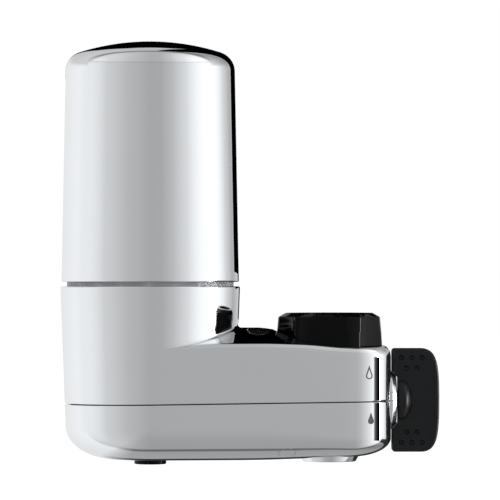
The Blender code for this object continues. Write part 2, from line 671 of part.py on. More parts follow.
def make_shells(base, chrome):
    """The housing is shelled, given its inner features, cut for what passes through it, and parted at the seam."""
    boss, well, skirt, posts = housing_tools(base)
    cavity = housing_solid("housing_cavity", WALL, CUP_HEIGHT + WALL, base)
    reach = 2 * ARM_REACH
    below = block("below_seam", (-reach, -reach, -reach), (reach, reach, GAP / 2), base)
    above = block("above_seam", (-reach, -reach, -GAP / 2), (reach, reach, reach), base)
    for half in (below, above):
        half.location = (AXIS_SPACING / 2, 0, SEAM_HEIGHT)
        half.rotation_euler = (0, -SEAM_TILT, 0)
    spindle_hole = turned(
        "spindle_hole",
        rod_profile(SPINDLE_RADIUS + GAP, VALVE_END, ARM_REACH + 2 * BOSS_LENGTH),
        MEDIUM,
        None,
        base,
        (0, 0, LEVER_HEIGHT),
        True,
    )
    recess = turned(
        "collar_recess",
        rod_profile(RECESS_RADIUS, RECESS_FLOOR, COLLAR_TOP),
        FINE,
        None,
        base,
        (AXIS_SPACING, 0, 0),
    )
    stem_hole = turned(
        "stem_hole",
        rod_profile(STEM_RADIUS + GAP, RECESS_FLOOR - 2 * WALL, COLLAR_TOP),
        MEDIUM,
        None,
        base,
        (AXIS_SPACING, 0, 0),
    )
    lens_outline = oval((LENS_X, LENS_Y), LENS_HALF_WIDTH + GAP, LENS_HALF_LENGTH + GAP, SMALL)
    lens_hole = prism("lens_hole", lens_outline, SKIRT_BOTTOM - WALL, CUP_HEIGHT, None, base)
    button_hole = prism(
        "button_hole", button_outline(GAP), 0.8 * CUP_RADIUS, 1.2 * CUP_RADIUS, None, base, False
    )
    button_hole.location = (0, 0, BUTTON_HEIGHT_Z)
    nozzle_hole = turned(
        "nozzle_hole", rod_profile(NOZZLE_RADIUS + GAP, -WALL, 2 * WALL), SMALL, None, base
    )
    outlet_hole = turned(
        "outlet_hole",
        rod_profile(OUTLET_RADIUS + GAP, -WALL, 4 * WALL),
        MEDIUM,
        None,
        base,
        (AXIS_SPACING, 0, 0),
    )
    screw_holes = [
        turned(
            f"screw_hole_{i}",
            [
                (0, -WALL),
                (SCREW_HEAD_RADIUS + GAP, -WALL),
                (SCREW_HEAD_RADIUS + GAP, SCREW_HEAD_BOTTOM + SCREW_HEAD_HEIGHT + GAP),
                (SCREW_RADIUS + GAP, SCREW_HEAD_BOTTOM + SCREW_HEAD_HEIGHT + GAP),
                (SCREW_RADIUS + GAP, SCREW_TOP + GAP),
                (0, SCREW_TOP + GAP),
            ],
            10,
            None,
            base,
            (x, y, 0),
        )
        for i, (x, y, _) in enumerate(SCREW_PLACES, 1)
    ]

    holes = [spindle_hole, *screw_holes]
    upper_cuts = [below, recess, stem_hole, lens_hole, button_hole, *holes]
    lower_cuts = [above, nozzle_hole, outlet_hole, *holes]
    for name, inner, cuts in (
        ("upper_shell", [well, skirt, *posts], upper_cuts),
        ("lower_shell", posts, lower_cuts),
    ):
        shell = housing_solid(name, 0, CUP_HEIGHT, base, OUTER_ROWS)
        shell.data.materials.append(chrome)
        combine(shell, "UNION", boss, solver="MANIFOLD")
        combine(shell, "DIFFERENCE", cavity, solver="MANIFOLD")
        combine(shell, "UNION", *inner, solver="MANIFOLD")
        combine(shell, "DIFFERENCE", *cuts, solver="MANIFOLD")


def make_screws(base, steel):
    for i, (x, y, _) in enumerate(SCREW_PLACES, 1):
        head_top = SCREW_HEAD_BOTTOM + SCREW_HEAD_HEIGHT
        profile = [
            (0, SCREW_HEAD_BOTTOM),
            (SCREW_HEAD_RADIUS - GAP, SCREW_HEAD_BOTTOM),
            (SCREW_HEAD_RADIUS, SCREW_HEAD_BOTTOM + GAP),
            (SCREW_HEAD_RADIUS, head_top),
            (SCREW_RADIUS, head_top),
            (SCREW_RADIUS, SCREW_TOP - SCREW_RADIUS),
            (0, SCREW_TOP),
        ]
        turned(f"shell_screw_{i}", profile, 10, steel, base, (x, y, 0))


def canister_outline(inset, bottom, corner_steps, crown_steps):
    """The canister's side, shoulder and crown from its foot to the axis, moved in by inset."""
    corner = CANISTER_CORNER - inset
    crown = CANISTER_CROWN_RADIUS - inset
    crown_centre = CANISTER_TOP - CANISTER_CROWN_RADIUS
    corner_x = CANISTER_SHOULDER_RADIUS - CANISTER_CORNER
    rise = math.sqrt((crown - corner) ** 2 - corner_x**2)
    turn = math.degrees(math.atan2(rise, corner_x))
    shoulder = arc((corner_x, crown_centre + rise), corner, 0, turn, corner_steps)
    top = arc((0, crown_centre), crown, turn, 90, crown_steps)[1:-1]
    slope = (CANISTER_FOOT_RADIUS - CANISTER_SHOULDER_RADIUS) / (shoulder[0][1] - CANISTER_BOTTOM)
    foot = CANISTER_SHOULDER_RADIUS - inset + slope * (shoulder[0][1] - bottom)
    return [(foot, bottom), *shoulder, *top, (0, CANISTER_TOP - inset)]


def domed(name, outer, inner, steps, finish, parent):
    """A closed-top vessel. Its profile meets the axis twice, at the top of each skin."""
    bm = bmesh.new()
    verts = [bm.verts.new((radius, 0, height)) for radius, height in outer]
    under = [bm.verts.new((radius, 0, height)) for radius, height in inner]
    pairs = [*zip(verts, verts[1:]), *zip(under, under[1:]), (verts[0], under[0])]
    edges = [bm.edges.new(pair) for pair in pairs]
    bmesh.ops.spin(
        bm,
        geom=[*verts, *under, *edges],
        cent=(0, 0, 0),
        axis=(0, 0, 1),
        angle=math.tau,
        steps=steps,
        use_merge=True,
    )
    bmesh.ops.remove_doubles(bm, verts=bm.verts, dist=1e-7)
    return finished(name, bm, finish, parent)


def make_cartridge(cartridge, chrome, finishes):
    domed(
        "canister_shell",
        canister_outline(0, CANISTER_BOTTOM, 5, 3),
        canister_outline(CANISTER_WALL, CANISTER_BOTTOM, 3, 2),
        FINE,
        chrome,
        cartridge,
    )
    vessel_inset = CANISTER_WALL + GAP
    vessel_bottom = NECK_RING_TOP + GAP
    domed(
        "cartridge_vessel",
        canister_outline(vessel_inset, vessel_bottom, 3, 2),
        canister_outline(vessel_inset + VESSEL_WALL, vessel_bottom, 2, 2),
        MEDIUM,
        finishes["white"],
        cartridge,
    )
    make_cartridge_base(cartridge, finishes["grey"])
    turned(
        "neck_seal",
        seal_profile(NECK_RADIUS + GAP - 1.5 * SEAL_SECTION, NECK_BOTTOM + 4 * SEAL_SECTION),
        MEDIUM,
        finishes["rubber"],
        cartridge,
    )
    turned(
        "spigot_seal",
        seal_profile(SPIGOT_RADIUS + GAP - 1.5 * SEAL_SECTION, SPIGOT_BOTTOM + 4 * SEAL_SECTION),
        SMALL,
        finishes["rubber"],
        cartridge,
    )
    make_filter_element(cartridge, finishes)


def groove(radius, height, inwards=1):
    """Three sides of an O-ring's groove in a wall, from its lower to its upper corner."""
    half = SEAL_SECTION + GAP
    floor = radius - inwards * (2.5 * SEAL_SECTION + GAP)
    return [
        (radius, height - half),
        (floor, height - half),
        (floor, height + half),
        (radius, height + half),
    ]


def make_cartridge_base(cartridge, finish):
    """The vessel's closure: neck ring, register, O-ringed neck and central spigot."""
    plate_bottom = REGISTER_BOTTOM + NECK_WALL
    profile = [
        (SPIGOT_BORE, NECK_RING_TOP),
        (SPIGOT_BORE, SPIGOT_BOTTOM),
        (SPIGOT_RADIUS, SPIGOT_BOTTOM),
        *groove(SPIGOT_RADIUS, SPIGOT_BOTTOM + 4 * SEAL_SECTION),
        (SPIGOT_RADIUS, plate_bottom),
        (NECK_RADIUS - 2 * NECK_WALL, plate_bottom),
        (NECK_RADIUS - 2 * NECK_WALL, NECK_BOTTOM),
        (NECK_RADIUS, NECK_BOTTOM),
        *groove(NECK_RADIUS, NECK_BOTTOM + 4 * SEAL_SECTION),
        (NECK_RADIUS, REGISTER_BOTTOM),
        (REGISTER_RADIUS, REGISTER_BOTTOM),
        (REGISTER_RADIUS, NECK_RING_BOTTOM),
        (NECK_RING_RADIUS, NECK_RING_BOTTOM),
        (NECK_RING_RADIUS, NECK_RING_TOP),
    ]
    closure = turned("cartridge_base", profile, MEDIUM, finish, cartridge)
    ports = drilled_circle(
        "inlet_ports",
        cartridge,
        1.0 * NECK_WALL,
        REGISTER_BOTTOM,
        NECK_RING_TOP + NECK_WALL,
        6,
        (SPIGOT_RADIUS + NECK_RADIUS - 2 * NECK_WALL) / 2,
        6,
    )
    combine(closure, "DIFFERENCE", ports)


def make_filter_element(cartridge, finishes):
    """The carbon block in its sleeve, potted between two end caps."""
    sleeve_bore = BLOCK_RADIUS + GAP
    sleeve_radius = sleeve_bore + SLEEVE_THICKNESS
    turned(
        "carbon_block",
        tube_profile(BLOCK_BORE, BLOCK_RADIUS, BLOCK_BOTTOM, BLOCK_TOP),
        MEDIUM,
        finishes["carbon"],
        cartridge,
    )
    turned(
        "prefilter_sleeve",
        tube_profile(sleeve_bore, sleeve_radius, BLOCK_BOTTOM, BLOCK_TOP),
        MEDIUM,
        finishes["felt"],
        cartridge,
    )
    cap_bore = sleeve_radius + GAP
    cap_radius = cap_bore + CAP_WALL
    top_face = BLOCK_TOP + GAP
    turned(
        "carbon_top_cap",
        [
            (0, top_face),
            (cap_bore, top_face),
            (cap_bore, top_face - CAP_SKIRT),
            (cap_radius, top_face - CAP_SKIRT),
            (cap_radius, top_face + CAP_THICKNESS),
            (0, top_face + CAP_THICKNESS),
        ],
        MEDIUM,
        finishes["white"],
        cartridge,
    )
    bottom_face = BLOCK_BOTTOM - GAP
    tube_radius = SPIGOT_BORE - GAP
    tube_bore = tube_radius - CAP_WALL
    turned(
        "carbon_bottom_cap",
        [
            (tube_bore, NECK_BOTTOM),
            (tube_radius, NECK_BOTTOM),
            (tube_radius, NECK_RING_TOP + GAP),
            (cap_radius, NECK_RING_TOP + GAP),
            (cap_radius, bottom_face + CAP_SKIRT),
            (cap_bore, bottom_face + CAP_SKIRT),
            (cap_bore, bottom_face),
            (tube_bore, bottom_face),
        ],
        MEDIUM,
        finishes["white"],
        cartridge,
    )


def make_socket(base, finishes):
    """The seat that the cartridge's neck and spigot plug into, and the tube down to the nozzle."""
    bore = NECK_RADIUS + GAP
    radius = bore + SOCKET_WALL
    floor = NECK_BOTTOM - GAP
    well = SPIGOT_RADIUS + GAP
    well_floor = SPIGOT_BOTTOM - GAP
    flange_top = REGISTER_BOTTOM - GAP
    flange_radius = cup_radius(flange_top - SOCKET_FLOOR) - WALL - GAP
    profile = [
        (bore, flange_top),
        (flange_radius, flange_top),
        (flange_radius, flange_top - SOCKET_FLOOR),
        (radius, flange_top - SOCKET_FLOOR),
        (radius, floor - SOCKET_FLOOR),
        (well + SOCKET_WALL, floor - SOCKET_FLOOR),
        (well + SOCKET_WALL, well_floor - SOCKET_FLOOR),
        (OUTLET_TUBE_RADIUS, well_floor - SOCKET_FLOOR),
        (OUTLET_TUBE_RADIUS, OUTLET_TUBE_BOTTOM),
        (OUTLET_TUBE_BORE, OUTLET_TUBE_BOTTOM),
        (OUTLET_TUBE_BORE, well_floor),
        (well, well_floor),
        (well, floor),
        (bore, floor),
    ]
    socket = turned("cartridge_socket", profile, MEDIUM, finishes["grey"], base)
    spout = turned(
        "feed_spout",
        rod_profile(FEED_RADIUS + GAP + SOCKET_WALL, well_floor - SOCKET_FLOOR, floor - SOCKET_FLOOR / 2),
        SMALL,
        None,
        base,
        (FEED_X, 0, 0),
    )
    spout_bore = turned(
        "feed_spout_bore",
        rod_profile(FEED_RADIUS + GAP, SCREW_TOP, NECK_BOTTOM),
        SMALL,
        None,
        base,
        (FEED_X, 0, 0),
    )
    combine(socket, "UNION", spout)
    combine(socket, "DIFFERENCE", spout_bore)
    swept_tube("feed_tube", feed_path(), FEED_RADIUS, FEED_BORE, finishes["tube"], base)


def feed_path():
    """From the valve's end wall along the arm, and up into the socket's floor."""
    start = Vector((VALVE_START + VALVE_END_WALL / 2, LEVER_HEIGHT))
    mouth = Vector((FEED_X, SPIGOT_BOTTOM - 2 * SOCKET_FLOOR))
    end = Vector((FEED_X, NECK_BOTTOM - GAP - SOCKET_FLOOR))
    along = Vector((0.72 * (start.x - mouth.x), 0))
    up = Vector((0, 0.75 * (mouth.y - start.y)))
    return [*interpolate_bezier(start, start - along, mouth - up, mouth, 11), end]


def swept_tube(name, path, radius, bore, finish, parent):
    """A hollow tube along a path in the plane of X and Z."""
    bm = bmesh.new()
    steps = 8
    skins = []
    for size in (radius, bore):
        rings = []
        for i, point in enumerate(path):
            ahead = path[min(i + 1, len(path) - 1)] - path[max(i - 1, 0)]
            normal = Vector((-ahead.y, ahead.x)).normalized() * size
            ring = []
            for k in range(steps):
                angle = math.tau * k / steps
                across = normal * math.cos(angle)
                ring.append(
                    bm.verts.new((point.x + across.x, size * math.sin(angle), point.y + across.y))
                )
            rings.append(ring)
        skins.append(rings)
    outer, inner = skins
    for low, high in zip([*outer, *reversed(inner)], [*outer[1:], *reversed(inner), outer[0]]):
        for k in range(steps):
            after = (k + 1) % steps
            bm.faces.new((low[k], low[after], high[after], high[k]))
    return finished(name, bm, finish, parent)


def make_nozzle(base, finish):
    """The filtered water's outlet, held by its flange above the housing's floor."""
    flange_bottom = WALL + GAP
    flange_top = flange_bottom + WALL
    bore = OUTLET_TUBE_RADIUS + GAP
    turned(
        "filtered_nozzle",
        [
            (bore, NOZZLE_BOTTOM + NOZZLE_RIM),
            (bore + NOZZLE_RIM / 2, NOZZLE_BOTTOM),
            (NOZZLE_RADIUS - GAP, NOZZLE_BOTTOM),
            (NOZZLE_RADIUS, NOZZLE_BOTTOM + GAP),
            (NOZZLE_RADIUS, flange_bottom),
            (NOZZLE_FLANGE_RADIUS, flange_bottom),
            (NOZZLE_FLANGE_RADIUS, flange_top),
            (bore + NOZZLE_RIM, flange_top),
            (bore + NOZZLE_RIM, NOZZLE_TOP),
            (bore, NOZZLE_TOP),
        ],
        MEDIUM,
        finish,
        base,
    )


def make_outlet(base, chrome, finish):
    """The bypass outlet: a chrome ring whose lip carries the spray plate."""
    flange_bottom = OUTLET_FLANGE_BOTTOM
    flange_top = flange_bottom + OUTLET_FLANGE_THICKNESS
    place = (AXIS_SPACING, 0, 0)
    lip_top = OUTLET_BOTTOM + OUTLET_LIP
    turned(
        "outlet_ring",
        [
            (OUTLET_BORE - OUTLET_LIP, OUTLET_BOTTOM),
            (OUTLET_RADIUS - GAP, OUTLET_BOTTOM),
            (OUTLET_RADIUS, OUTLET_BOTTOM + GAP),
            (OUTLET_RADIUS, flange_bottom),
            (OUTLET_FLANGE_RADIUS, flange_bottom),
            (OUTLET_FLANGE_RADIUS, flange_top),
            (OUTLET_BORE, flange_top),
            (OUTLET_BORE, lip_top),
            (OUTLET_BORE - OUTLET_LIP, lip_top),
        ],
        MEDIUM,
        chrome,
        base,
        place,
    )
    bottom = lip_top + GAP
    plate = turned(
        "spray_plate",
        rod_profile(OUTLET_BORE - GAP, bottom, bottom + SPRAY_THICKNESS),
        MEDIUM,
        finish,
        base,
        place,
    )
    for i, (radius, count, circle) in enumerate(
        (
            (SPRAY_CENTRE_HOLE, 1, 0),
            (SPRAY_HOLE, 5, SPRAY_INNER_CIRCLE),
            (SPRAY_HOLE, 9, SPRAY_OUTER_CIRCLE),
        )
    ):
        drills = drilled_circle(
            f"spray_drills_{i}", base, radius, bottom - WALL, bottom + 2 * WALL, count, circle, 6
        )
        drills.location = place
        combine(plate, "DIFFERENCE", drills)


def make_valve(base, lever_axis, finishes):
    """The diverter: a barrel along the arm, its inlet and outlet towers, bonnet, spindle and seals."""
    axis = (0, 0, LEVER_HEIGHT)
    bore = PLUG_RADIUS + GAP
    bore_start = VALVE_START + VALVE_END_WALL
    thread_start = VALVE_END - VALVE_END_WALL
    barrel = turned(
        "valve_body",
        [
            (FEED_RADIUS + GAP, VALVE_START),
            (VALVE_RADIUS, VALVE_START),
            (VALVE_RADIUS, VALVE_END),
            (BONNET_THREAD_RADIUS + GAP, VALVE_END),
            (BONNET_THREAD_RADIUS + GAP, thread_start),
            (bore, thread_start),
            (bore, bore_start),
            (FEED_RADIUS + GAP, bore_start),
        ],
        MEDIUM,
        finishes["grey"],
        base,
        axis,
        True,
    )
    place = (AXIS_SPACING, 0, 0)
    inlet_tower = turned(
        "inlet_tower", rod_profile(TOWER_RADIUS, LEVER_HEIGHT + bore + GAP, INLET_TOWER_TOP), MEDIUM, None, base, place
    )
    outlet_tower = turned(
        "outlet_tower",
        rod_profile(OUTLET_TOWER_RADIUS, OUTLET_TOWER_BOTTOM, LEVER_HEIGHT - bore - GAP),
        MEDIUM,
        None,
        base,
        place,
    )
    waterway = turned(
        "waterway",
        [
            (0, 0),
            (STEM_BORE, 0),
            (STEM_BORE, STEM_BOTTOM - 2 * GAP),
            (STEM_RADIUS + GAP, STEM_BOTTOM - GAP),
            (STEM_RADIUS + GAP, SEAT_HEIGHT),
            (0, SEAT_HEIGHT),
        ],
        SMALL,
        None,
        base,
        place,
    )
    combine(barrel, "UNION", inlet_tower, outlet_tower)
    combine(barrel, "DIFFERENCE", waterway)

    flange_start = VALVE_END + GAP
    turned(
        "valve_bonnet",
        [
            (SPINDLE_RADIUS + GAP, thread_start + GAP),
            (BONNET_THREAD_RADIUS, thread_start + GAP),
            (BONNET_THREAD_RADIUS, flange_start),
            (VALVE_RADIUS, flange_start),
            (VALVE_RADIUS, flange_start + BONNET_FLANGE),
            (SPINDLE_RADIUS + GAP, flange_start + BONNET_FLANGE),
        ],
        MEDIUM,
        finishes["grey"],
        base,
        axis,
        True,
    )

    plug_start = bore_start + GAP
    plug_end = thread_start
    seals = (("inner", plug_start + 4 * SEAL_SECTION), ("outer", plug_end - 4 * SEAL_SECTION))
    lever_end = ARM_REACH + HUB_START + LEVER_WIDTH / 2
    spindle = turned(
        "valve_spindle",
        [
            (0, plug_start),
            (PLUG_RADIUS, plug_start),
            *groove(PLUG_RADIUS, seals[0][1]),
            *groove(PLUG_RADIUS, seals[1][1]),
            (PLUG_RADIUS, plug_end),
            (SPINDLE_RADIUS, plug_end),
            (SPINDLE_RADIUS, ARM_REACH + BOSS_LENGTH),
            (SPINDLE_TIP_RADIUS, ARM_REACH + BOSS_LENGTH),
            (SPINDLE_TIP_RADIUS, lever_end),
            (0, lever_end),
        ],
        MEDIUM,
        finishes["white"],
        lever_axis,
        (0, 0, 0),
        True,
    )
    port = turned(
        "spindle_port",
        rod_profile(PORT_RADIUS, -VALVE_RADIUS, VALVE_RADIUS),
        SMALL,
        None,
        lever_axis,
        (AXIS_SPACING, 0, 0),
    )
    combine(spindle, "DIFFERENCE", port)
    for name, place_along in seals:
        turned(
            f"spindle_seal_{name}",
            seal_profile(PLUG_RADIUS + GAP - 1.5 * SEAL_SECTION, place_along),
            SMALL,
            finishes["rubber"],
            lever_axis,
            (0, 0, 0),
            True,
        )


def make_inlet(base, finishes):
    """The flanged stem that the collar draws up, its washer and its strainer."""
    place = (AXIS_SPACING, 0, 0)
    flange_top = SEAT_HEIGHT - WASHER_THICKNESS - GAP
    flange_bottom = flange_top - STEM_FLANGE_THICKNESS
    ledge = flange_top - SCREEN_THICKNESS - GAP
    turned(
        "inlet_stem",
        [
            (STEM_BORE, STEM_BOTTOM),
            (STEM_RADIUS, STEM_BOTTOM),
            (STEM_RADIUS, flange_bottom),
            (STEM_FLANGE_RADIUS, flange_bottom),
            (STEM_FLANGE_RADIUS, flange_top),
            (SCREEN_RADIUS + GAP, flange_top),
            (SCREEN_RADIUS + GAP, ledge - GAP),
            (STEM_BORE, ledge - GAP),
        ],
        MEDIUM,
        finishes["brass"],
        base,
        place,
    )
    turned(
        "faucet_washer",
        tube_profile(STEM_BORE, STEM_FLANGE_RADIUS, SEAT_HEIGHT - WASHER_THICKNESS, SEAT_HEIGHT),
        MEDIUM,
        finishes["rubber"],
        base,
        place,
    )
    screen = turned(
        "inlet_screen",
        rod_profile(SCREEN_RADIUS, ledge, ledge + SCREEN_THICKNESS),
        SMALL,
        finishes["steel"],
        base,
        place,
    )
    for i, (count, circle) in enumerate(((1, 0), (6, SCREEN_CIRCLE))):
        drills = drilled_circle(
            f"screen_drills_{i}", base, SCREEN_HOLE, ledge - WALL, ledge + WALL, count, circle, 6
        )
        drills.location = place
        combine(screen, "DIFFERENCE", drills)


def make_collar(collar_axis, finish):
    """A flared ring with shallow upright scoops, threaded inside, whose lip catches the stem's flange."""
    flange_bottom = SEAT_HEIGHT - WASHER_THICKNESS - GAP - STEM_FLANGE_THICKNESS
    lip_top = flange_bottom - GAP
    collar = turned(
        "collar",
        [
            (STEM_RADIUS + 1.5 * GAP, COLLAR_BOTTOM),
            (COLLAR_RADIUS - GAP, COLLAR_BOTTOM),
            (COLLAR_RADIUS, COLLAR_BOTTOM + GAP),
            (COLLAR_RADIUS - 0.4 * MM, (COLLAR_BOTTOM + COLLAR_TOP) / 2),
            (COLLAR_NECK_RADIUS, COLLAR_TOP - COLLAR_CHAMFER),
            (COLLAR_TOP_RADIUS, COLLAR_TOP),
            (COLLAR_BORE, COLLAR_TOP),
            (COLLAR_BORE, lip_top),
            (STEM_RADIUS + 1.5 * GAP, lip_top),
        ],
        FINE,
        finish,
        collar_axis,
    )
    centre = COLLAR_RADIUS - SCOOP_DEPTH + SCOOP_RADIUS
    half = math.degrees(math.asin(0.6 * COLLAR_RADIUS / SCOOP_RADIUS))
    face = arc((centre, 0), SCOOP_RADIUS, 180 - half, 180 + half, 6)
    outline = [*face, (centre, face[-1][1]), (centre, face[0][1])]
    for i in range(SCOOPS):
        scoop = prism(
            f"scoop_{i + 1}", outline, COLLAR_BOTTOM - WALL, COLLAR_TOP + WALL, None, collar_axis
        )
        scoop.rotation_euler = (0, 0, math.radians(-90 - 3.5 + 360 * i / SCOOPS))
        combine(collar, "DIFFERENCE", scoop)


def lever_outline():
    """The paddle in the plane of X and Z: a straight inner edge and a bulging outer one."""
    left = ARM_REACH + LEVER_CLEARANCE
    right = left + LEVER_WIDTH
    half = LEVER_HALF_HEIGHT
    small = LEVER_EDGE
    start = Vector((left + 0.61 * LEVER_WIDTH, half))
    bulge = interpolate_bezier(
        start,
        start + Vector((0.36 * LEVER_WIDTH, 0)),
        Vector((right, 0.67 * half)),
        Vector((right, 0)),
        7,
    )
    upper = [*arc((left + small, half - small), small, 180, 90, 2), *[tuple(p) for p in bulge]]
    lower = [(x, -z) for x, z in reversed(upper[:-1])]
    return [*upper, *lower]


def make_lever(lever_axis, finish):
    """The paddle with its hub, moulded in one, and its dimples."""
    half_thickness = LEVER_THICKNESS / 2
    lever = prism("lever", lever_outline(), -half_thickness, half_thickness, finish, lever_axis, False)
    bevel = lever.modifiers.new("soft edges", "BEVEL")
    bevel.width = LEVER_EDGE
    bevel.segments = 2
    bevel.limit_method = "ANGLE"
    bevel.angle_limit = math.radians(60)

    hub_start = ARM_REACH + HUB_START
    rim_end = hub_start + HUB_RIM
    relief = turned(
        "hub_relief",
        [
            (0, ARM_REACH - BOSS_LENGTH),
            (BOSS_RADIUS + HUB_RELIEF, ARM_REACH - BOSS_LENGTH),
            (BOSS_RADIUS + HUB_RELIEF / 2, ARM_REACH + LEVER_CLEARANCE + GAP),
            (BOSS_RADIUS, hub_start),
            (HUB_RADIUS + 2 * GAP, rim_end),
            (0, rim_end),
        ],
        MEDIUM,
        None,
        lever_axis,
        (0, 0, 0),
        True,
    )
    dome = [
        (HUB_RADIUS * math.cos(math.radians(a)), rim_end - GAP + HUB_DOME * math.sin(math.radians(a)))
        for a in (0, 20, 40, 60, 80)
    ]
    hub = turned(
        "hub",
        [
            (0, hub_start),
            (HUB_RADIUS - GAP, hub_start),
            (HUB_RADIUS, hub_start + GAP),
            *dome,
            (0, rim_end - GAP + HUB_DOME),
        ],
        MEDIUM,
        None,
        lever_axis,
        (0, 0, 0),
        True,
    )
    tip = turned(
        "spindle_socket",
        rod_profile(SPINDLE_TIP_RADIUS + GAP, ARM_REACH, ARM_REACH + HUB_START + LEVER_WIDTH / 2 + GAP),
        SMALL,
        None,
        lever_axis,
        (0, 0, 0),
        True,
    )
    combine(lever, "DIFFERENCE", relief)
    combine(lever, "UNION", hub)
    combine(lever, "DIFFERENCE", tip, dimple_cutter(lever_axis))


def dimple_cutter(lever_axis):
    """Two rows of round pits at each end of the paddle, on both of its faces."""
    bm = bmesh.new()
    first_x = ARM_REACH + LEVER_CLEARANCE + DIMPLE_INSET
    outer_z = LEVER_HALF_HEIGHT - DIMPLE_INSET
    rows = ((0, 3, outer_z), (0.5, 2, outer_z - DIMPLE_PITCH))
    depth = 2 * DIMPLE_DEPTH
    for side in (-1, 1):
        for end in (-1, 1):
            for shift, count, height in rows:
                for i in range(count):
                    place = Vector(
                        (
                            first_x + (i + shift) * DIMPLE_PITCH,
                            side * LEVER_THICKNESS / 2,
                            end * height,
                        )
                    )
                    bmesh.ops.create_cone(
                        bm,
                        cap_ends=True,
                        segments=6,
                        radius1=DIMPLE_RADIUS,
                        radius2=DIMPLE_RADIUS,
                        depth=depth,
                        matrix=Matrix.Translation(place) @ Matrix.Rotation(math.pi / 2, 4, "X"),
                    )
    return finished("dimples", bm, None, lever_axis)


def make_indicator(base, finishes):
    """The status window and, stacked under it in the shell's skirt, its light, board, cell and cover."""
    centre = (LENS_X, LENS_Y)
    lens = prism(
        "indicator_lens",
        oval(centre, LENS_HALF_WIDTH, LENS_HALF_LENGTH, SMALL),
        LENS_BOTTOM,
        CUP_HEIGHT,
        finishes["lens"],
        base,
    )
    for vert in lens.data.vertices:
        if vert.co.z > (LENS_BOTTOM + CUP_HEIGHT) / 2:
            vert.co.z = deck_height(vert.co.x, vert.co.y) + LENS_PROUD
    led_bottom = LENS_BOTTOM - GAP - LED_HEIGHT
    board_top = led_bottom - GAP
    board_bottom = board_top - BOARD_THICKNESS
    cell_top = board_bottom - GAP
    cover_top = SKIRT_BOTTOM - GAP
    turned(
        "status_led",
        rod_profile(LED_RADIUS, led_bottom, led_bottom + LED_HEIGHT),
        12,
        finishes["led"],
        base,
        (*centre, 0),
    )
    prism(
        "indicator_board",
        oval(centre, LENS_HALF_WIDTH, LENS_HALF_LENGTH, SMALL),
        board_bottom,
        board_top,
        finishes["board"],
        base,
    )
    turned(
        "button_cell",
        rod_profile(CELL_RADIUS, cover_top + GAP, cell_top),
        SMALL,
        finishes["steel"],
        base,
        (*centre, 0),
    )
    prism(
        "indicator_cover",
        oval(
            centre,
            LENS_HALF_WIDTH + GAP + SKIRT_WALL,
            LENS_HALF_LENGTH + GAP + SKIRT_WALL,
            SMALL,
        ),
        cover_top - BOARD_THICKNESS,
        cover_top,
        finishes["black"],
        base,
    )


def make_button(base, finishes):
    """The release button in the cup's back wall, kept in by its flange, and its spring."""
    slot = empty("button_axis", (0, 0, BUTTON_HEIGHT_Z), base)
    wall_radius = cup_radius(BUTTON_HEIGHT_Z)
    flange_half = BUTTON_HALF_WIDTH + BUTTON_FLANGE_MARGIN
    flange_face = math.sqrt((wall_radius - WALL) ** 2 - flange_half**2) - GAP
    flange_back = flange_face - BUTTON_FLANGE
    button = prism(
        "release_button",
        button_outline(0),
        flange_face - GAP,
        wall_radius + BUTTON_PROUD,
        finishes["grip"],
        slot,
        False,
    )
    flange = prism(
        "button_flange", button_outline(BUTTON_FLANGE_MARGIN), flange_back, flange_face, None, slot, False
    )
    combine(button, "UNION", flange)

    seat = NECK_RADIUS + GAP + SOCKET_WALL + GAP
    start = seat + SPRING_WIRE
    end = flange_back - GAP - SPRING_WIRE
    data = bpy.data.curves.new("button_spring", "CURVE")
    data.dimensions = "3D"
    data.bevel_depth = SPRING_WIRE
    data.bevel_resolution = 1
    data.use_fill_caps = True
    steps = 14 * SPRING_TURNS
    line = data.splines.new("POLY")
    line.points.add(steps)
    for i, point in enumerate(line.points):
        angle = math.tau * SPRING_TURNS * i / steps
        along = start + (end - start) * i / steps
        point.co = (SPRING_RADIUS * math.cos(angle), along, SPRING_RADIUS * math.sin(angle), 1)
    data.materials.append(finishes["steel"])
    spring = bpy.data.objects.new("button_spring", data)
    bpy.context.scene.collection.objects.link(spring)
    spring.parent = slot


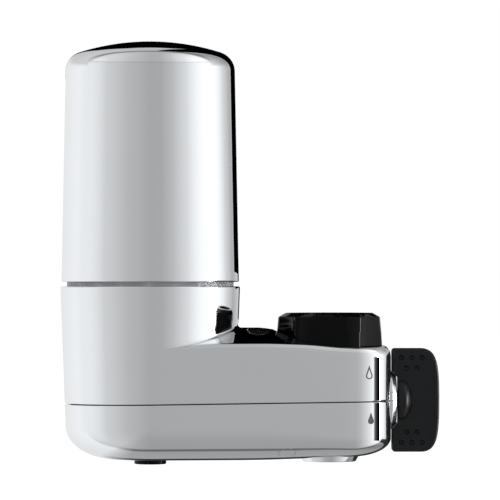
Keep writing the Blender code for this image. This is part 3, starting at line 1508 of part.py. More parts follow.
def main():
    for obj in list(bpy.data.objects):
        bpy.data.objects.remove(obj)
    chrome = material("chrome", (0.80, 0.82, 0.84), 1.0, 0.05)
    finishes = {
        "grey": material("grey_plastic", (0.42, 0.43, 0.45), 0.0, 0.45),
        "white": material("white_plastic", (0.85, 0.86, 0.86), 0.0, 0.4),
        "black": material("gloss_black", (0.012, 0.013, 0.015), 0.0, 0.12),
        "grip": material("satin_black", (0.020, 0.022, 0.025), 0.0, 0.45),
        "rubber": material("rubber", (0.03, 0.03, 0.03), 0.0, 0.7),
        "carbon": material("carbon", (0.02, 0.02, 0.02), 0.0, 0.95),
        "felt": material("prefilter_felt", (0.86, 0.86, 0.83), 0.0, 0.95),
        "tube": material("feed_tube", (0.75, 0.77, 0.78), 0.0, 0.3),
        "brass": material("brass", (0.78, 0.62, 0.32), 1.0, 0.3),
        "steel": material("steel", (0.60, 0.61, 0.62), 1.0, 0.3),
        "lens": material("indicator_lens", (0.03, 0.035, 0.04), 0.0, 0.05),
        "led": material("status_led", (0.25, 0.75, 0.35), 0.0, 0.2),
        "board": material("circuit_board", (0.05, 0.28, 0.14), 0.0, 0.5),
    }
    base = empty("base", (-AXIS_SPACING, 0, -SEAT_HEIGHT))
    cartridge = empty("cartridge_axis", (0, 0, 0), base)
    lever_axis = empty("lever_axis", (0, 0, LEVER_HEIGHT), base)
    collar_axis = empty("collar_axis", (AXIS_SPACING, 0, 0), base)

    make_shells(base, chrome)
    make_screws(base, finishes["steel"])
    make_cartridge(cartridge, chrome, finishes)
    make_socket(base, finishes)
    make_nozzle(base, finishes["black"])
    make_outlet(base, chrome, finishes["grey"])
    make_valve(base, lever_axis, finishes)
    make_inlet(base, finishes)
    make_collar(collar_axis, finishes["black"])
    make_lever(lever_axis, finishes["grip"])
    make_indicator(base, finishes)
    make_button(base, finishes)


if __name__ == "__main__":
    main()
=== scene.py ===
"""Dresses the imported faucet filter: bright chrome shells, black collar and lever, and a soft studio."""

import math

import bmesh
import bpy
from bpy.props import FloatProperty, FloatVectorProperty, IntProperty, PointerProperty
from mathutils import Matrix, Vector
from mathutils.geometry import interpolate_bezier


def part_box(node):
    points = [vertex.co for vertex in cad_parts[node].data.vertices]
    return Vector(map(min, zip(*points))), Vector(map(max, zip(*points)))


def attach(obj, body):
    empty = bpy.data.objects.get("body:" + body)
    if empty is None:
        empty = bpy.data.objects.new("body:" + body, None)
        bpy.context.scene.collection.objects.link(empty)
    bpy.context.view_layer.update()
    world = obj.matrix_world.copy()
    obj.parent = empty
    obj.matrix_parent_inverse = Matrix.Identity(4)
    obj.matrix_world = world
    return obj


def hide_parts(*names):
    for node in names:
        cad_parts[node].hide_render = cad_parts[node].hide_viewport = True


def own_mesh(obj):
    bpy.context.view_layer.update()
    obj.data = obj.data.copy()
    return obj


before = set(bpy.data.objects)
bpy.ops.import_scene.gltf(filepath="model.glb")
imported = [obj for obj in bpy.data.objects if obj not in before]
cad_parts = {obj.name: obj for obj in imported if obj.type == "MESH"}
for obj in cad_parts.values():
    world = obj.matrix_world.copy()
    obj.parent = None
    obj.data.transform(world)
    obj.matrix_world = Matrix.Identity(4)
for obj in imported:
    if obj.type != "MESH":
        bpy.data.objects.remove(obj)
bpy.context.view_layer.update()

bl_info = {
    "name": "Faucet filter finish",
    "version": (1, 0, 0),
    "blender": (4, 5, 0),
    "location": "3D View > Sidebar > Faucet Filter",
    "description": "Fine surfaces, finishes and studio for a faucet mount water filter",
    "category": "Object",
}

MM = 0.001
MERGE = 1e-7
CANISTER_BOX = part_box("canister_shell")
PAN_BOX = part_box("lower_shell")

# The foot of the canister's axis, from which the sizes below are counted, with X along the arm
FOOT = Vector(((CANISTER_BOX[0].x + CANISTER_BOX[1].x) / 2, 0, PAN_BOX[0].z))
ARM_SPAN = -FOOT.x  # canister's axis to collar's axis


class FilterSizes(bpy.types.PropertyGroup):
    lip: FloatProperty(
        name="Lip radius",
        description="Radius of the canister's rolled foot",
        default=0.5 * MM,
        unit="LENGTH",
    )
    canister_steps: IntProperty(name="Canister steps", description="Faces round the canister", default=192)
    housing_columns: IntProperty(
        name="Housing columns", description="Faces along each side of the arm", default=36
    )
    dimple_radius: FloatProperty(
        name="Dimple radius",
        description="Radius of the lever's finger dimples",
        default=0.95 * MM,
        unit="LENGTH",
    )


class FilterColours(bpy.types.PropertyGroup):
    chrome: FloatVectorProperty(
        name="Chrome",
        description="Tint of the chrome plate",
        subtype="COLOR",
        default=(0.80, 0.82, 0.84),
    )
    black: FloatVectorProperty(
        name="Black",
        description="Black that the collar's and the lever's plastic are toned from",
        subtype="COLOR",
        default=(0.012, 0.013, 0.015),
    )
    mark: FloatVectorProperty(
        name="Marks",
        description="Printed water drops",
        subtype="COLOR",
        default=(0.055, 0.058, 0.062),
    )


class StageSettings(bpy.types.PropertyGroup):
    distance: FloatProperty(
        name="Camera distance",
        description="From the camera to the canister's axis",
        default=1.26,
        unit="LENGTH",
    )
    lens: FloatProperty(name="Lens", description="Focal length in millimetres", default=252.0)
    eye_height: FloatProperty(
        name="Eye height",
        description="Camera height above the housing's underside",
        default=62.6 * MM,
        unit="LENGTH",
    )
    floor_drop: FloatProperty(
        name="Floor drop",
        description="Floor below the housing's underside",
        default=70 * MM,
        unit="LENGTH",
    )


def sizes():
    return bpy.context.scene.filter_sizes


def colours():
    return bpy.context.scene.filter_colours


# Meshes


def in_mm(*points):
    """Points given in millimetres, as metres."""
    return [tuple(value * MM for value in point) for point in points]


def smoothstep(value, start, end):
    share = min(1.0, max(0.0, (value - start) / (end - start)))
    return share * share * (3 - 2 * share)


def rounded(corners, steps):
    """A polyline with its corners turned into arcs. Each corner is (radius, height, size of its arc)."""
    points = []
    for i, (x, z, size) in enumerate(corners):
        here = Vector((x, z))
        if not size or i in (0, len(corners) - 1):
            points.append((x, z))
            continue
        before = Vector(corners[i - 1][:2]) - here
        after = Vector(corners[i + 1][:2]) - here
        turn = before.angle(after)
        reach = min(size / math.tan(turn / 2), 0.49 * before.length, 0.49 * after.length)
        start = here + before.normalized() * reach
        end = here + after.normalized() * reach
        bend = 4 / 3 * math.tan((math.pi - turn) / 4) * reach * math.tan(turn / 2)
        start_handle = start - before.normalized() * bend
        end_handle = end - after.normalized() * bend
        points += [tuple(p) for p in interpolate_bezier(start, start_handle, end_handle, end, steps)]
    return points


def spun(profile, steps, ring=True):
    """A profile of (radius, height) points spun once round Z."""
    bm = bmesh.new()
    verts = [bm.verts.new((x, 0, z)) for x, z in profile]
    loop = verts + verts[:1] if ring else verts
    edges = [bm.edges.new(pair) for pair in zip(loop, loop[1:])]
    bmesh.ops.spin(
        bm,
        geom=verts + edges,
        cent=(0, 0, 0),
        axis=(0, 0, 1),
        angle=math.tau,
        steps=steps,
        use_merge=True,
    )
    bmesh.ops.remove_doubles(bm, verts=bm.verts, dist=MERGE)
    return bm


def arc(centre, radius, start, end, steps):
    angles = [math.radians(start + (end - start) * i / steps) for i in range(steps + 1)]
    return [(centre[0] + radius * math.cos(a), centre[1] + radius * math.sin(a)) for a in angles]


def solid_object(name, bm):
    """Makes an object of a mesh, with its faces pointing out."""
    bmesh.ops.recalc_face_normals(bm, faces=bm.faces)
    mesh = bpy.data.meshes.new(name)
    bm.to_mesh(mesh)
    bm.free()
    made = bpy.data.objects.new(name, mesh)
    bpy.context.scene.collection.objects.link(made)
    return made


def dressed(piece, body, finish_name, slot, *nodes, sharp=30, at=FOOT):
    """Moves a piece to its place, finishes it, and has it ride on a body and stand for CAD nodes."""
    mesh = piece.data
    mesh.transform(Matrix.Translation(at))
    mesh.shade_smooth()
    mesh.set_sharp_from_angle(angle=math.radians(sharp))
    mesh.materials.clear()
    mesh.materials.append(finish(finish_name))
    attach(piece, body)
    if nodes:
        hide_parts(*nodes)


def combined(target, tool, operation="DIFFERENCE"):
    """Applies a Boolean and uses up its tool."""
    modifier = target.modifiers.new(tool.name, "BOOLEAN")
    modifier.operation = operation
    modifier.solver = "MANIFOLD"
    modifier.object = tool
    before = len(target.data.vertices)
    first = target.data.vertices[0].co.copy() if before else None
    with bpy.context.temp_override(object=target, active_object=target):
        bpy.ops.object.modifier_apply(modifier=modifier.name)
    after = len(target.data.vertices)
    if after == 0 or (after == before and target.data.vertices[0].co == first):
        raise RuntimeError(f"{tool.name} made no change to {target.name}")
    mesh = tool.data
    bpy.data.objects.remove(tool)
    bpy.data.meshes.remove(mesh)


def turned(name, profile, steps, at=(0, 0, 0), along_x=False):
    """A closed solid of a profile turned round Z, or round X."""
    bm = spun(profile, steps, ring=False)
    turn = Matrix.Rotation(math.pi / 2, 4, "Y") if along_x else Matrix.Identity(4)
    bmesh.ops.transform(bm, matrix=Matrix.Translation(at) @ turn, verts=bm.verts)
    return solid_object(name, bm)


def rod(radius, low, high, steps, at=(0, 0, 0), along_x=False, name="rod"):
    return turned(name, [(0, low), (radius, low), (radius, high), (0, high)], steps, at, along_x)


def slab(outline, low, high, height=None):
    """An outline extruded along Z, or along Y when its middle has a height."""
    bm = bmesh.new()
    if height is None:
        verts = [bm.verts.new((a, b, low)) for a, b in outline]
        travel = Vector((0, 0, high - low))
    else:
        verts = [bm.verts.new((a, low, b + height)) for a, b in outline]
        travel = Vector((0, high - low, 0))
    face = bm.faces.new(verts)
    made = bmesh.ops.extrude_face_region(bm, geom=[face])["geom"]
    bmesh.ops.translate(bm, verts=[v for v in made if isinstance(v, bmesh.types.BMVert)], vec=travel)
    bmesh.ops.recalc_face_normals(bm, faces=bm.faces)
    return bm


def oval(centre, half, steps, margin=0.0):
    return [
        (
            centre[0] + (half[0] + margin) * math.cos(math.tau * i / steps),
            centre[1] + (half[1] + margin) * math.sin(math.tau * i / steps),
        )
        for i in range(steps)
    ]


def stadium(half, margin=0.0, steps=16):
    radius = half[1] + margin
    straight = half[0] - half[1]
    right = arc((straight, 0), radius, -90, 90, steps)
    return right + [(-x, -y) for x, y in right]


def bevelled(bm, edges, width, segments):
    bmesh.ops.bevel(
        bm, geom=edges, affect="EDGES", offset=width, segments=segments, profile=0.5, material=-1
    )


def outermost(bm):
    """The face that lies furthest back."""
    return max(bm.faces, key=lambda face: face.calc_center_median().y)


def started(columns, place):
    """A closed ring of edges with one vertex for each column."""
    bm = bmesh.new()
    layer = bm.verts.layers.int.new("column")
    ring = bmesh.ops.create_circle(bm, segments=columns, radius=MM)["verts"]
    for column, vert in enumerate(ring):
        vert[layer] = column
        vert.co = place(column)
    return bm, layer, list(bm.edges)


def grown(bm, layer, edges, place):
    """Extrudes edges by one row and puts each new vertex where its column says."""
    made = bmesh.ops.extrude_edge_only(bm, edges=edges)["geom"]
    for vert in made:
        if isinstance(vert, bmesh.types.BMVert):
            vert.co = place(vert[layer])
    return [edge for edge in made if isinstance(edge, bmesh.types.BMEdge)]


# Finishes


def toned(colour, share):
    return tuple(share * value for value in colour)


def wired(tree, kind, *links, **values):
    """Adds a node, sets its properties and joins (input, source socket) pairs to it."""
    node = tree.nodes.new(kind)
    for label, value in values.items():
        setattr(node, label, value)
    for label, source in links:
        if isinstance(source, bpy.types.NodeSocket):
            tree.links.new(source, node.inputs[label])
        else:
            node.inputs[label].default_value = source
    return node


def maths(tree, operation, *values):
    """The result of a Math node on numbers and sockets."""
    return wired(tree, "ShaderNodeMath", *enumerate(values), operation=operation).outputs[0]


def ranged(tree, source, start, end, low=0.0, high=1.0):
    """Goes from low to high while the source goes from start to end."""
    ends = (("From Min", start), ("From Max", end), ("To Min", low), ("To Max", high))
    return wired(tree, "ShaderNodeMapRange", ("Value", source), *ends).outputs[0]


def mixed(tree, factor, first, second, blend="MIX"):
    links = ((0, factor), (6, first), (7, second))
    return wired(tree, "ShaderNodeMix", *links, data_type="RGBA", blend_type=blend).outputs[2]


def noise(tree, place, scale, detail):
    links = (("Vector", place), ("Scale", scale), ("Detail", detail))
    return wired(tree, "ShaderNodeTexNoise", *links).outputs["Fac"]


def node_group(name, outputs, **amounts):
    """A shader node group that takes a Vector and named amounts, with its way in and its way out."""
    group = bpy.data.node_groups.new(name, "ShaderNodeTree")
    group.interface.new_socket(name="Vector", in_out="INPUT", socket_type="NodeSocketVector")
    for label, amount in amounts.items():
        socket = group.interface.new_socket(name=label, in_out="INPUT", socket_type="NodeSocketFloat")
        socket.default_value = amount
    for label, kind in outputs.items():
        group.interface.new_socket(name=label, in_out="OUTPUT", socket_type=f"NodeSocket{kind}")
    return group, group.nodes.new("NodeGroupInput").outputs, group.nodes.new("NodeGroupOutput").inputs


def gloss_group():
    """Fine noise as a value about a middle, for a gloss that isn't quite even."""
    outputs = {"Value": "Float", "Mask": "Float"}
    group, inlet, outlet = node_group("uneven_gloss", outputs, Scale=900.0, Middle=0.3, Amount=0.1)
    mask = noise(group, inlet["Vector"], inlet["Scale"], 4.0)
    centred = maths(group, "SUBTRACT", mask, 0.5)
    value = maths(group, "MULTIPLY_ADD", centred, inlet["Amount"], inlet["Middle"])
    group.links.new(value, outlet["Value"])
    group.links.new(mask, outlet["Mask"])
    return group


def relief_group(name, scale, depth, detail, rings=False):
    """Fine relief as a normal: the grain of a mould, or the rings about Z that a lathe leaves."""
    group, inlet, outlet = node_group(name, {"Normal": "Vector", "Mask": "Float"}, Scale=scale, Depth=depth)
    place = inlet["Vector"]
    if rings:
        split = wired(group, "ShaderNodeSeparateXYZ", ("Vector", place)).outputs
        across = wired(group, "ShaderNodeCombineXYZ", ("X", split["X"]), ("Y", split["Y"]))
        radius = wired(group, "ShaderNodeVectorMath", (0, across.outputs[0]), operation="LENGTH")
        run = maths(group, "ADD", radius.outputs["Value"], split["Z"])
        place = wired(group, "ShaderNodeCombineXYZ", ("X", run)).outputs[0]
    mask = noise(group, place, inlet["Scale"], detail)
    bump = wired(group, "ShaderNodeBump", ("Height", mask), ("Distance", inlet["Depth"]), ("Strength", 1.0))
    group.links.new(bump.outputs["Normal"], outlet["Normal"])
    group.links.new(mask, outlet["Mask"])
    return group


def placed_group(tree, group, at=None, **values):
    """Puts a group in a material on Object coordinates, centred at a point, and gives its outputs."""
    source = tree.nodes.new("ShaderNodeTexCoord").outputs["Object"]
    if at is not None:
        mapping = wired(tree, "ShaderNodeMapping", ("Vector", source), ("Location", -Vector(at)))
        source = mapping.outputs["Vector"]
    return wired(tree, "ShaderNodeGroup", *values.items(), ("Vector", source), node_tree=group).outputs


def new_finish(name, colour, roughness, metallic=0.0, **shader_values):
    made = bpy.data.materials.new(name)
    made.use_nodes = True
    shader = made.node_tree.nodes["Principled BSDF"].inputs
    shader["Base Color"].default_value = (*colour, 1.0)
    shader["Roughness"].default_value = roughness
    shader["Metallic"].default_value = metallic
    for label, value in shader_values.items():
        shader[label].default_value = value
    return made, made.node_tree, shader


def surfaced(tree, shader, gloss, relief, mask, low, high):
    """Gives a shader its gloss and relief, and a colour that a mask varies between two tones."""
    tree.links.new(gloss["Value"], shader["Roughness"])
    if relief is not None:
        tree.links.new(relief["Normal"], shader["Normal"])
    tree.links.new(mixed(tree, mask, (*low, 1.0), (*high, 1.0)), shader["Base Color"])


def chrome_finish(groups):
    tint = tuple(colours().chrome)
    made, tree, shader = new_finish("bright_chrome", tint, 0.03, 1.0)
    gloss = placed_group(tree, groups["gloss"], Scale=55.0, Middle=0.035, Amount=0.05)
    surfaced(tree, shader, gloss, None, gloss["Mask"], toned(tint, 0.985), tint)
    return made


def plastic_finish(groups, name, colour, roughness, grain, scale, spread, shader_values):
    """Moulded plastic: etched grain, uneven gloss and a little uneven colour."""
    made, tree, shader = new_finish(name, colour, roughness, **shader_values)
    relief = placed_group(tree, groups["grain"], Scale=scale, Depth=grain)
    gloss = placed_group(tree, groups["gloss"], Scale=180.0, Middle=roughness, Amount=spread)
    surfaced(tree, shader, gloss, relief, gloss["Mask"], toned(colour, 0.88), toned(colour, 1.08))
    return made


def turned_metal_finish(groups, name, colour, roughness, at):
    made, tree, shader = new_finish(name, colour, roughness, 1.0)
    relief = placed_group(tree, groups["turning"], at=at)
    gloss = placed_group(tree, groups["gloss"], Scale=300.0, Middle=roughness, Amount=0.15)
    surfaced(tree, shader, gloss, relief, relief["Mask"], toned(colour, 0.8), colour)
    return made


def felt_finish(groups):
    """Non-woven felt: tangled fibres over soft lumps."""
    low, high = (0.70, 0.70, 0.66), (0.90, 0.90, 0.87)
    made, tree, shader = new_finish("prefilter_felt", high, 0.95)
    relief = placed_group(tree, groups["grain"], Scale=700.0, Depth=0.0003)
    gloss = placed_group(tree, groups["gloss"], Scale=2400.0, Middle=0.9, Amount=0.15)
    surfaced(tree, shader, gloss, relief, gloss["Mask"], low, high)
    return made


def make_finishes():
    groups = {
        "gloss": gloss_group(),
        "grain": relief_group("mould_grain", 2500.0, 0.00002, 3.0),
        "turning": relief_group("turning_marks", 3000.0, 0.00001, 2.0, rings=True),
    }
    made = {
        "bright_chrome": chrome_finish(groups),
        "prefilter_felt": felt_finish(groups),
        "steel": turned_metal_finish(groups, "steel", (0.60, 0.61, 0.62), 0.28, FOOT),
        "brass": turned_metal_finish(groups, "brass", (0.78, 0.62, 0.32), 0.25, (0, 0, 0)),
    }
    black, mark = tuple(colours().black), tuple(colours().mark)
    # Each plastic's colour, roughness, grain as (depth, scale, spread of gloss) and values of its shader
    usual, ink = (0.00002, 2500.0, 0.1), (0.000003, 2500.0, 0.1)
    plastics = {
        "gloss_black": (toned(black, 0.15), 0.06, (0.000002, 1200.0, 0.04), {"Specular IOR Level": 0.08}),
        "satin_black": (toned(black, 0.45), 0.32, (0.00002, 2600.0, 0.1), {"Specular IOR Level": 0.24}),
        "grey_plastic": ((0.42, 0.43, 0.45), 0.42, usual, {}),
        "white_plastic": ((0.82, 0.83, 0.83), 0.38, usual, {}),
        "rubber": ((0.025, 0.025, 0.026), 0.65, (0.00002, 1500.0, 0.1), {}),
        "pressed_carbon": ((0.02, 0.02, 0.021), 0.8, (0.0002, 1400.0, 0.3), {}),
        "tube_plastic": (
            (0.72, 0.75, 0.76), 0.3, usual, {"Subsurface Weight": 0.1, "Subsurface Scale": 0.001}
        ),
        "circuit_board": ((0.04, 0.26, 0.12), 0.45, (0.00005, 1000.0, 0.1), {}),
        "status_led": ((0.25, 0.72, 0.34), 0.2, usual, {}),
        "smoked_lens": (
            (0.006, 0.007, 0.008), 0.05, (0.000002, 900.0, 0.03), {"Specular IOR Level": 0.3}
        ),
        "drop_outline_ink": (mark, 0.35, ink, {}),
        "drop_ink": (toned(mark, 1.3), 0.35, ink, {}),
    }
    for name, (colour, roughness, (depth, scale, spread), shader_values) in plastics.items():
        made[name] = plastic_finish(groups, name, colour, roughness, depth, scale, spread, shader_values)
    return made


FINISHES = {}


def finish(name):
    if not FINISHES:
        FINISHES.update(make_finishes())
    return FINISHES[name]


# The stage


def stage_object(name, bm, material, **visibility):
    mesh = bpy.data.meshes.new(name)
    bm.to_mesh(mesh)
    bm.free()
    mesh.materials.append(material)
    mesh.shade_smooth()
    made = bpy.data.objects.new(name, mesh)
    bpy.context.scene.collection.objects.link(made)
    for ray in ("camera", "diffuse", "glossy", "transmission", "shadow", "volume_scatter"):
        setattr(made, f"visible_{ray}", visibility.get(ray, False))


def ramp(tree, source, stops):
    node = wired(tree, "ShaderNodeValToRGB", ("Fac", source))
    elements = node.color_ramp.elements
    elements.remove(elements[1])
    elements[0].position = stops[0][0]
    for position, _ in stops[1:]:
        elements.new(position)
    for element, (_, level) in zip(elements, stops):
        element.color = (level, level, level, 1.0)
    return node.outputs["Color"]


def flat_material(name, level):
    material = bpy.data.materials.new(name)
    material.use_nodes = True
    material.cycles.emission_sampling = "NONE"
    tree = material.node_tree
    tree.nodes.clear()
    shade = wired(tree, "ShaderNodeEmission", ("Color", (level, level, level, 1.0)))
    outlet = tree.nodes.new("ShaderNodeOutputMaterial")
    tree.links.new(shade.outputs[0], outlet.inputs["Surface"])
    return material


def fading_material(name, start, end, level):
    """Black that turns to a grey and then to nothing as Y falls from end to start."""
    material = flat_material(name, 0.0)
    tree = material.node_tree
    place = tree.nodes.new("ShaderNodeTexCoord").outputs["Object"]
    split = wired(tree, "ShaderNodeSeparateXYZ", ("Vector", place)).outputs
    share = ranged(tree, split["Y"], start, end)
    shade = tree.nodes["Emission"]
    tree.links.new(ramp(tree, share, ((0.0, level), (0.8, 0.0))), shade.inputs["Color"])
    cover = ramp(tree, share, ((0.0, 0.0), (0.2, 0.9), (0.5, 1.0)))
    clear = tree.nodes.new("ShaderNodeBsdfTransparent")
    mix = wired(tree, "ShaderNodeMixShader", (0, cover), (1, clear.outputs[0]), (2, shade.outputs[0]))
    tree.links.new(mix.outputs[0], tree.nodes["Material Output"].inputs["Surface"])
    return material


# Brightness of the tent from its left side to its right, as (place, level)
FRONT_LEVELS = (
    (0.0, 1.0), (0.067, 0.75), (0.25, 0.58), (0.5, 0.47), (0.63, 0.48), (0.75, 0.60), (0.883, 0.85),
    (0.96, 1.15), (1.0, 1.3),
)
BACK_LEVELS = (
    (0.0, 1.0), (0.0245, 1.06), (0.33, 0.88), (0.5, 0.80), (0.63, 0.75), (0.847, 0.50), (0.94, 0.80),
    (1.0, 1.3),
)
# And from below the object to above it, as shares of those
FRONT_HEIGHTS = (
    (0.0, 0.85), (0.25, 0.95), (0.45, 1.0), (0.72, 1.0), (0.735, 0.82), (0.755, 0.82), (0.77, 1.1),
    (1.0, 1.1),
)
BACK_HEIGHTS = (
    (0.0, 0.50), (0.24, 0.52), (0.26, 0.05), (0.42, 0.05), (0.455, 1.0), (0.6, 1.0), (0.68, 0.72),
    (1.0, 0.72),
)


def tent_material():
    """The studio that the chrome mirrors: grey in front, bright at the sides, pale behind."""
    material = flat_material("studio_tent", 1.0)
    tree = material.node_tree

    def sight(vector):
        """The X, Y and Z of a direction."""
        unit = wired(tree, "ShaderNodeVectorMath", (0, vector), operation="NORMALIZE")
        split = wired(tree, "ShaderNodeSeparateXYZ", ("Vector", unit.outputs[0])).outputs
        return split["X"], split["Y"], split["Z"]

    x, y, z = sight(tree.nodes.new("ShaderNodeTexCoord").outputs["Object"])
    flatter = (("X", x), ("Y", y), ("Z", maths(tree, "MULTIPLY", z, 0.45)))
    sideways = sight(wired(tree, "ShaderNodeCombineXYZ", *flatter).outputs[0])[0]
    across = maths(tree, "MULTIPLY_ADD", sideways, 0.5, 0.5)
    height = maths(tree, "MULTIPLY_ADD", z, 0.5, 0.5)
    steep = maths(tree, "ABSOLUTE", z)
    behind = maths(tree, "MULTIPLY_ADD", steep, -0.28, y)
    depth = ranged(tree, behind, -0.03, 0.03)
    room = mixed(tree, depth, ramp(tree, across, FRONT_LEVELS), ramp(tree, across, BACK_LEVELS))
    heights = mixed(tree, depth, ramp(tree, height, FRONT_HEIGHTS), ramp(tree, height, BACK_HEIGHTS))
    # Low on the left the room is even, so the housing's lower left corner stays pale
    right = ranged(tree, maths(tree, "DIVIDE", x, steep), -0.45, -0.2)
    uneven = maths(tree, "MAXIMUM", right, ranged(tree, z, -0.03, 0.0))
    lit = mixed(tree, uneven, room, heights, "MULTIPLY")
    # A dim line overhead and underneath, where the front of the room meets its back
    near_joint = ranged(tree, maths(tree, "ABSOLUTE", behind), 0.05, 0.13, 1.0, 0.0)
    line = maths(tree, "MULTIPLY", near_joint, ranged(tree, steep, 0.45, 0.8))
    dim = maths(tree, "MULTIPLY_ADD", maths(tree, "MULTIPLY", line, uneven), -0.6, 1.0)
    # A bright upright strip at the far right, which fades out above and below
    strip = ranged(tree, across, 0.9955, 0.997, 0.0, 12.0)
    strength = maths(tree, "MULTIPLY_ADD", strip, ranged(tree, steep, 0.55, 0.40), dim)
    shade = tree.nodes["Emission"].inputs
    tree.links.new(lit, shade["Color"])
    tree.links.new(strength, shade["Strength"])
    return material


def card(name, corner, width, height, material):
    """An upright card, seen only in reflections. width is a plan vector, height goes up."""
    bm = bmesh.new()
    corner, width, height = Vector(corner), Vector((*width, 0)), Vector((0, 0, height))
    bm.faces.new([bm.verts.new(corner + p) for p in (Vector(), width, width + height, height)])
    stage_object(name, bm, material, glossy=True, transmission=True)


CAMERA_ALONG = 35.9 * MM
FRAME_MIDDLE = 75.2 * MM
LAMP_TARGET = Vector((-0.02, 0, 0.02))


def make_camera():
    settings = bpy.context.scene.stage_settings
    data = bpy.data.cameras.new("camera")
    data.sensor_width = 36.0
    data.lens = settings.lens
    camera = bpy.data.objects.new("camera", data)
    bpy.context.scene.collection.objects.link(camera)
    camera.location = FOOT + Vector((CAMERA_ALONG, -settings.distance, settings.eye_height))
    camera.rotation_euler = (math.pi / 2, 0, 0)
    width_at_object = data.sensor_width / data.lens * settings.distance
    data.shift_y = (FRAME_MIDDLE - settings.eye_height) / width_at_object
    bpy.context.scene.camera = camera


def make_world():
    """Even light, with a plain white background for the camera and for reflections."""
    world = bpy.data.worlds.new("studio")
    bpy.context.scene.world = world
    world.use_nodes = True
    tree = world.node_tree
    background = tree.nodes["Background"].inputs
    background["Color"].default_value = (1.0, 1.0, 1.0, 1.0)
    path = tree.nodes.new("ShaderNodeLightPath").outputs
    seen = maths(tree, "MAXIMUM", path["Is Camera Ray"], path["Is Glossy Ray"])
    seen = maths(tree, "MAXIMUM", seen, path["Is Transmission Ray"])
    tree.links.new(maths(tree, "MULTIPLY_ADD", seen, 0.45, 0.55), background["Strength"])


def make_floor():
    """A pale floor that keeps the object's shadow and is white where it is lit."""
    white = (1.0, 1.0, 1.0, 1.0)
    values = {"Specular IOR Level": 0.0, "Emission Color": white}
    material, tree, shader = new_finish("pale_floor", (0.85, 0.85, 0.85), 0.9, **values)
    path = tree.nodes.new("ShaderNodeLightPath").outputs
    lift = maths(tree, "MULTIPLY", path["Is Camera Ray"], 0.56)
    tree.links.new(lift, shader["Emission Strength"])
    drop = bpy.context.scene.stage_settings.floor_drop
    bm = bmesh.new()
    bmesh.ops.create_grid(bm, x_segments=1, y_segments=1, size=8.0)
    bmesh.ops.translate(bm, verts=bm.verts, vec=(0, 0, FOOT.z - drop))
    stage_object("floor", bm, material, camera=True, diffuse=True, shadow=True)


def make_lamp(name, place, size, power):
    data = bpy.data.lights.new(name, "AREA")
    data.size = size
    data.energy = power
    lamp = bpy.data.objects.new(name, data)
    bpy.context.scene.collection.objects.link(lamp)
    lamp.location = place
    lamp.rotation_euler = (LAMP_TARGET - Vector(place)).to_track_quat("-Z", "Y").to_euler()
    lamp.visible_glossy = False
    lamp.visible_camera = False


class MakeStage(bpy.types.Operator):
    """Makes the camera, the world, the floor, the lamps and the cards that the chrome mirrors"""

    bl_idname = "faucet_filter.stage"
    bl_label = "Studio"

    def execute(self, context):
        make_camera()
        make_world()
        make_floor()
        bm = bmesh.new()
        bmesh.ops.create_icosphere(bm, subdivisions=4, radius=3.0)
        stage_object("studio_tent", bm, tent_material(), glossy=True, transmission=True)
        dark = flat_material("dark_flag", 0.0)
        back = 0.17
        for name, x, z, width, height in (
            ("flag_over_deck", -0.036, 0.0185, 0.135, 0.6085),
            ("flag_behind_cup", -0.036, -0.002, 0.060, 0.0205),
            ("flag_over_crown", -0.125, 0.100, 0.089, 0.115),
        ):
            card(name, (x, back, z), (width, 0), height, dark)
        near, far = -0.0318, -0.0166
        fading = fading_material("corner_flag", near, far, 0.07)
        card("flag_at_corner", (0.045, near, -0.050), (0.0, far - near), 0.041, fading)
        make_lamp("key", (-0.7, -0.9, 0.9), 0.7, 9.0)
        make_lamp("fill", (0.9, -0.6, 0.6), 0.7, 6.0)
        context.scene.view_settings.view_transform = "Standard"
        return {"FINISHED"}


# The housing, with the same rules of form as the part's source

CUP_HEIGHT = 62.1 * MM
CUP_RADIUS = 32.3 * MM
CUP_DRAFT = math.radians(2.06)
ARM_REACH = 86.3 * MM
ARM_HALF_WIDTH = 22.0 * MM
ARM_CORNER = 14.5 * MM
WALL = 2.0 * MM
GAP = 0.3 * MM
SEAM_HEIGHT = 20.7 * MM
SEAM_RISE = math.tan(math.radians(0.6))
SEAM_PIVOT = ARM_SPAN / 2
UNDERSIDE_REACH = 18.0 * MM
UNDERSIDE_RISE = 12.0 * MM
END_UNDERSIDE_REACH = 14.0 * MM
END_UNDERSIDE_RISE = 6.5 * MM
UNDERSIDE_LIFT = 1.4 * MM
DECK_EDGE_HEIGHT = 41.5 * MM
DECK_CROWN = 5.8 * MM
DECK_CROWN_AT_COLLAR = 0.5 * MM
DECK_STEP = 1.2 * MM
DECK_TOE_DROP = 1.7 * MM
DECK_ROUND_ACROSS = 2.8 * MM
DECK_ROUND_DOWN = 2.6 * MM
END_ROUND_DOWN = 4.3 * MM
DECK_ROUND_TURN = math.radians(70)
COVE = 1.2 * MM
RECESS_RADIUS = 20.2 * MM
RECESS_FLOOR = 38.6 * MM
RECESS_WALL = 1.2 * MM
STEM_HOLE = 8.6 * MM
LEVER_HEIGHT = 21.3 * MM
BOSS_RADIUS = 10.4 * MM
BOSS_TIP_RADIUS = 9.0 * MM
BOSS_LENGTH = 2.1 * MM
SPINDLE_HOLE = 5.3 * MM
LENS_CENTRE = (38.8 * MM, -10.0 * MM)
LENS_HALF = (4.0 * MM, 7.0 * MM)
BUTTON_HEIGHT = 52.0 * MM
BUTTON_HALF = (7.0 * MM, 4.2 * MM)
SCREW_POSTS = in_mm((-25.7, 0, 45), (49.0, -18.8, 47), (49.0, 18.8, 47))  # x, y and top
SCREW_POST_RADIUS = 4.2 * MM
SCREW_HEAD_RADIUS = 2.8 * MM
SCREW_HEAD_BOTTOM = 9.0 * MM
SCREW_HOLE_TOP = 11.3 * MM
NOZZLE_HOLE = 6.1 * MM
OUTLET_HOLE = 11.1 * MM
LENS_SKIRT = 1.4 * MM
LENS_SKIRT_FOOT = 36.5 * MM
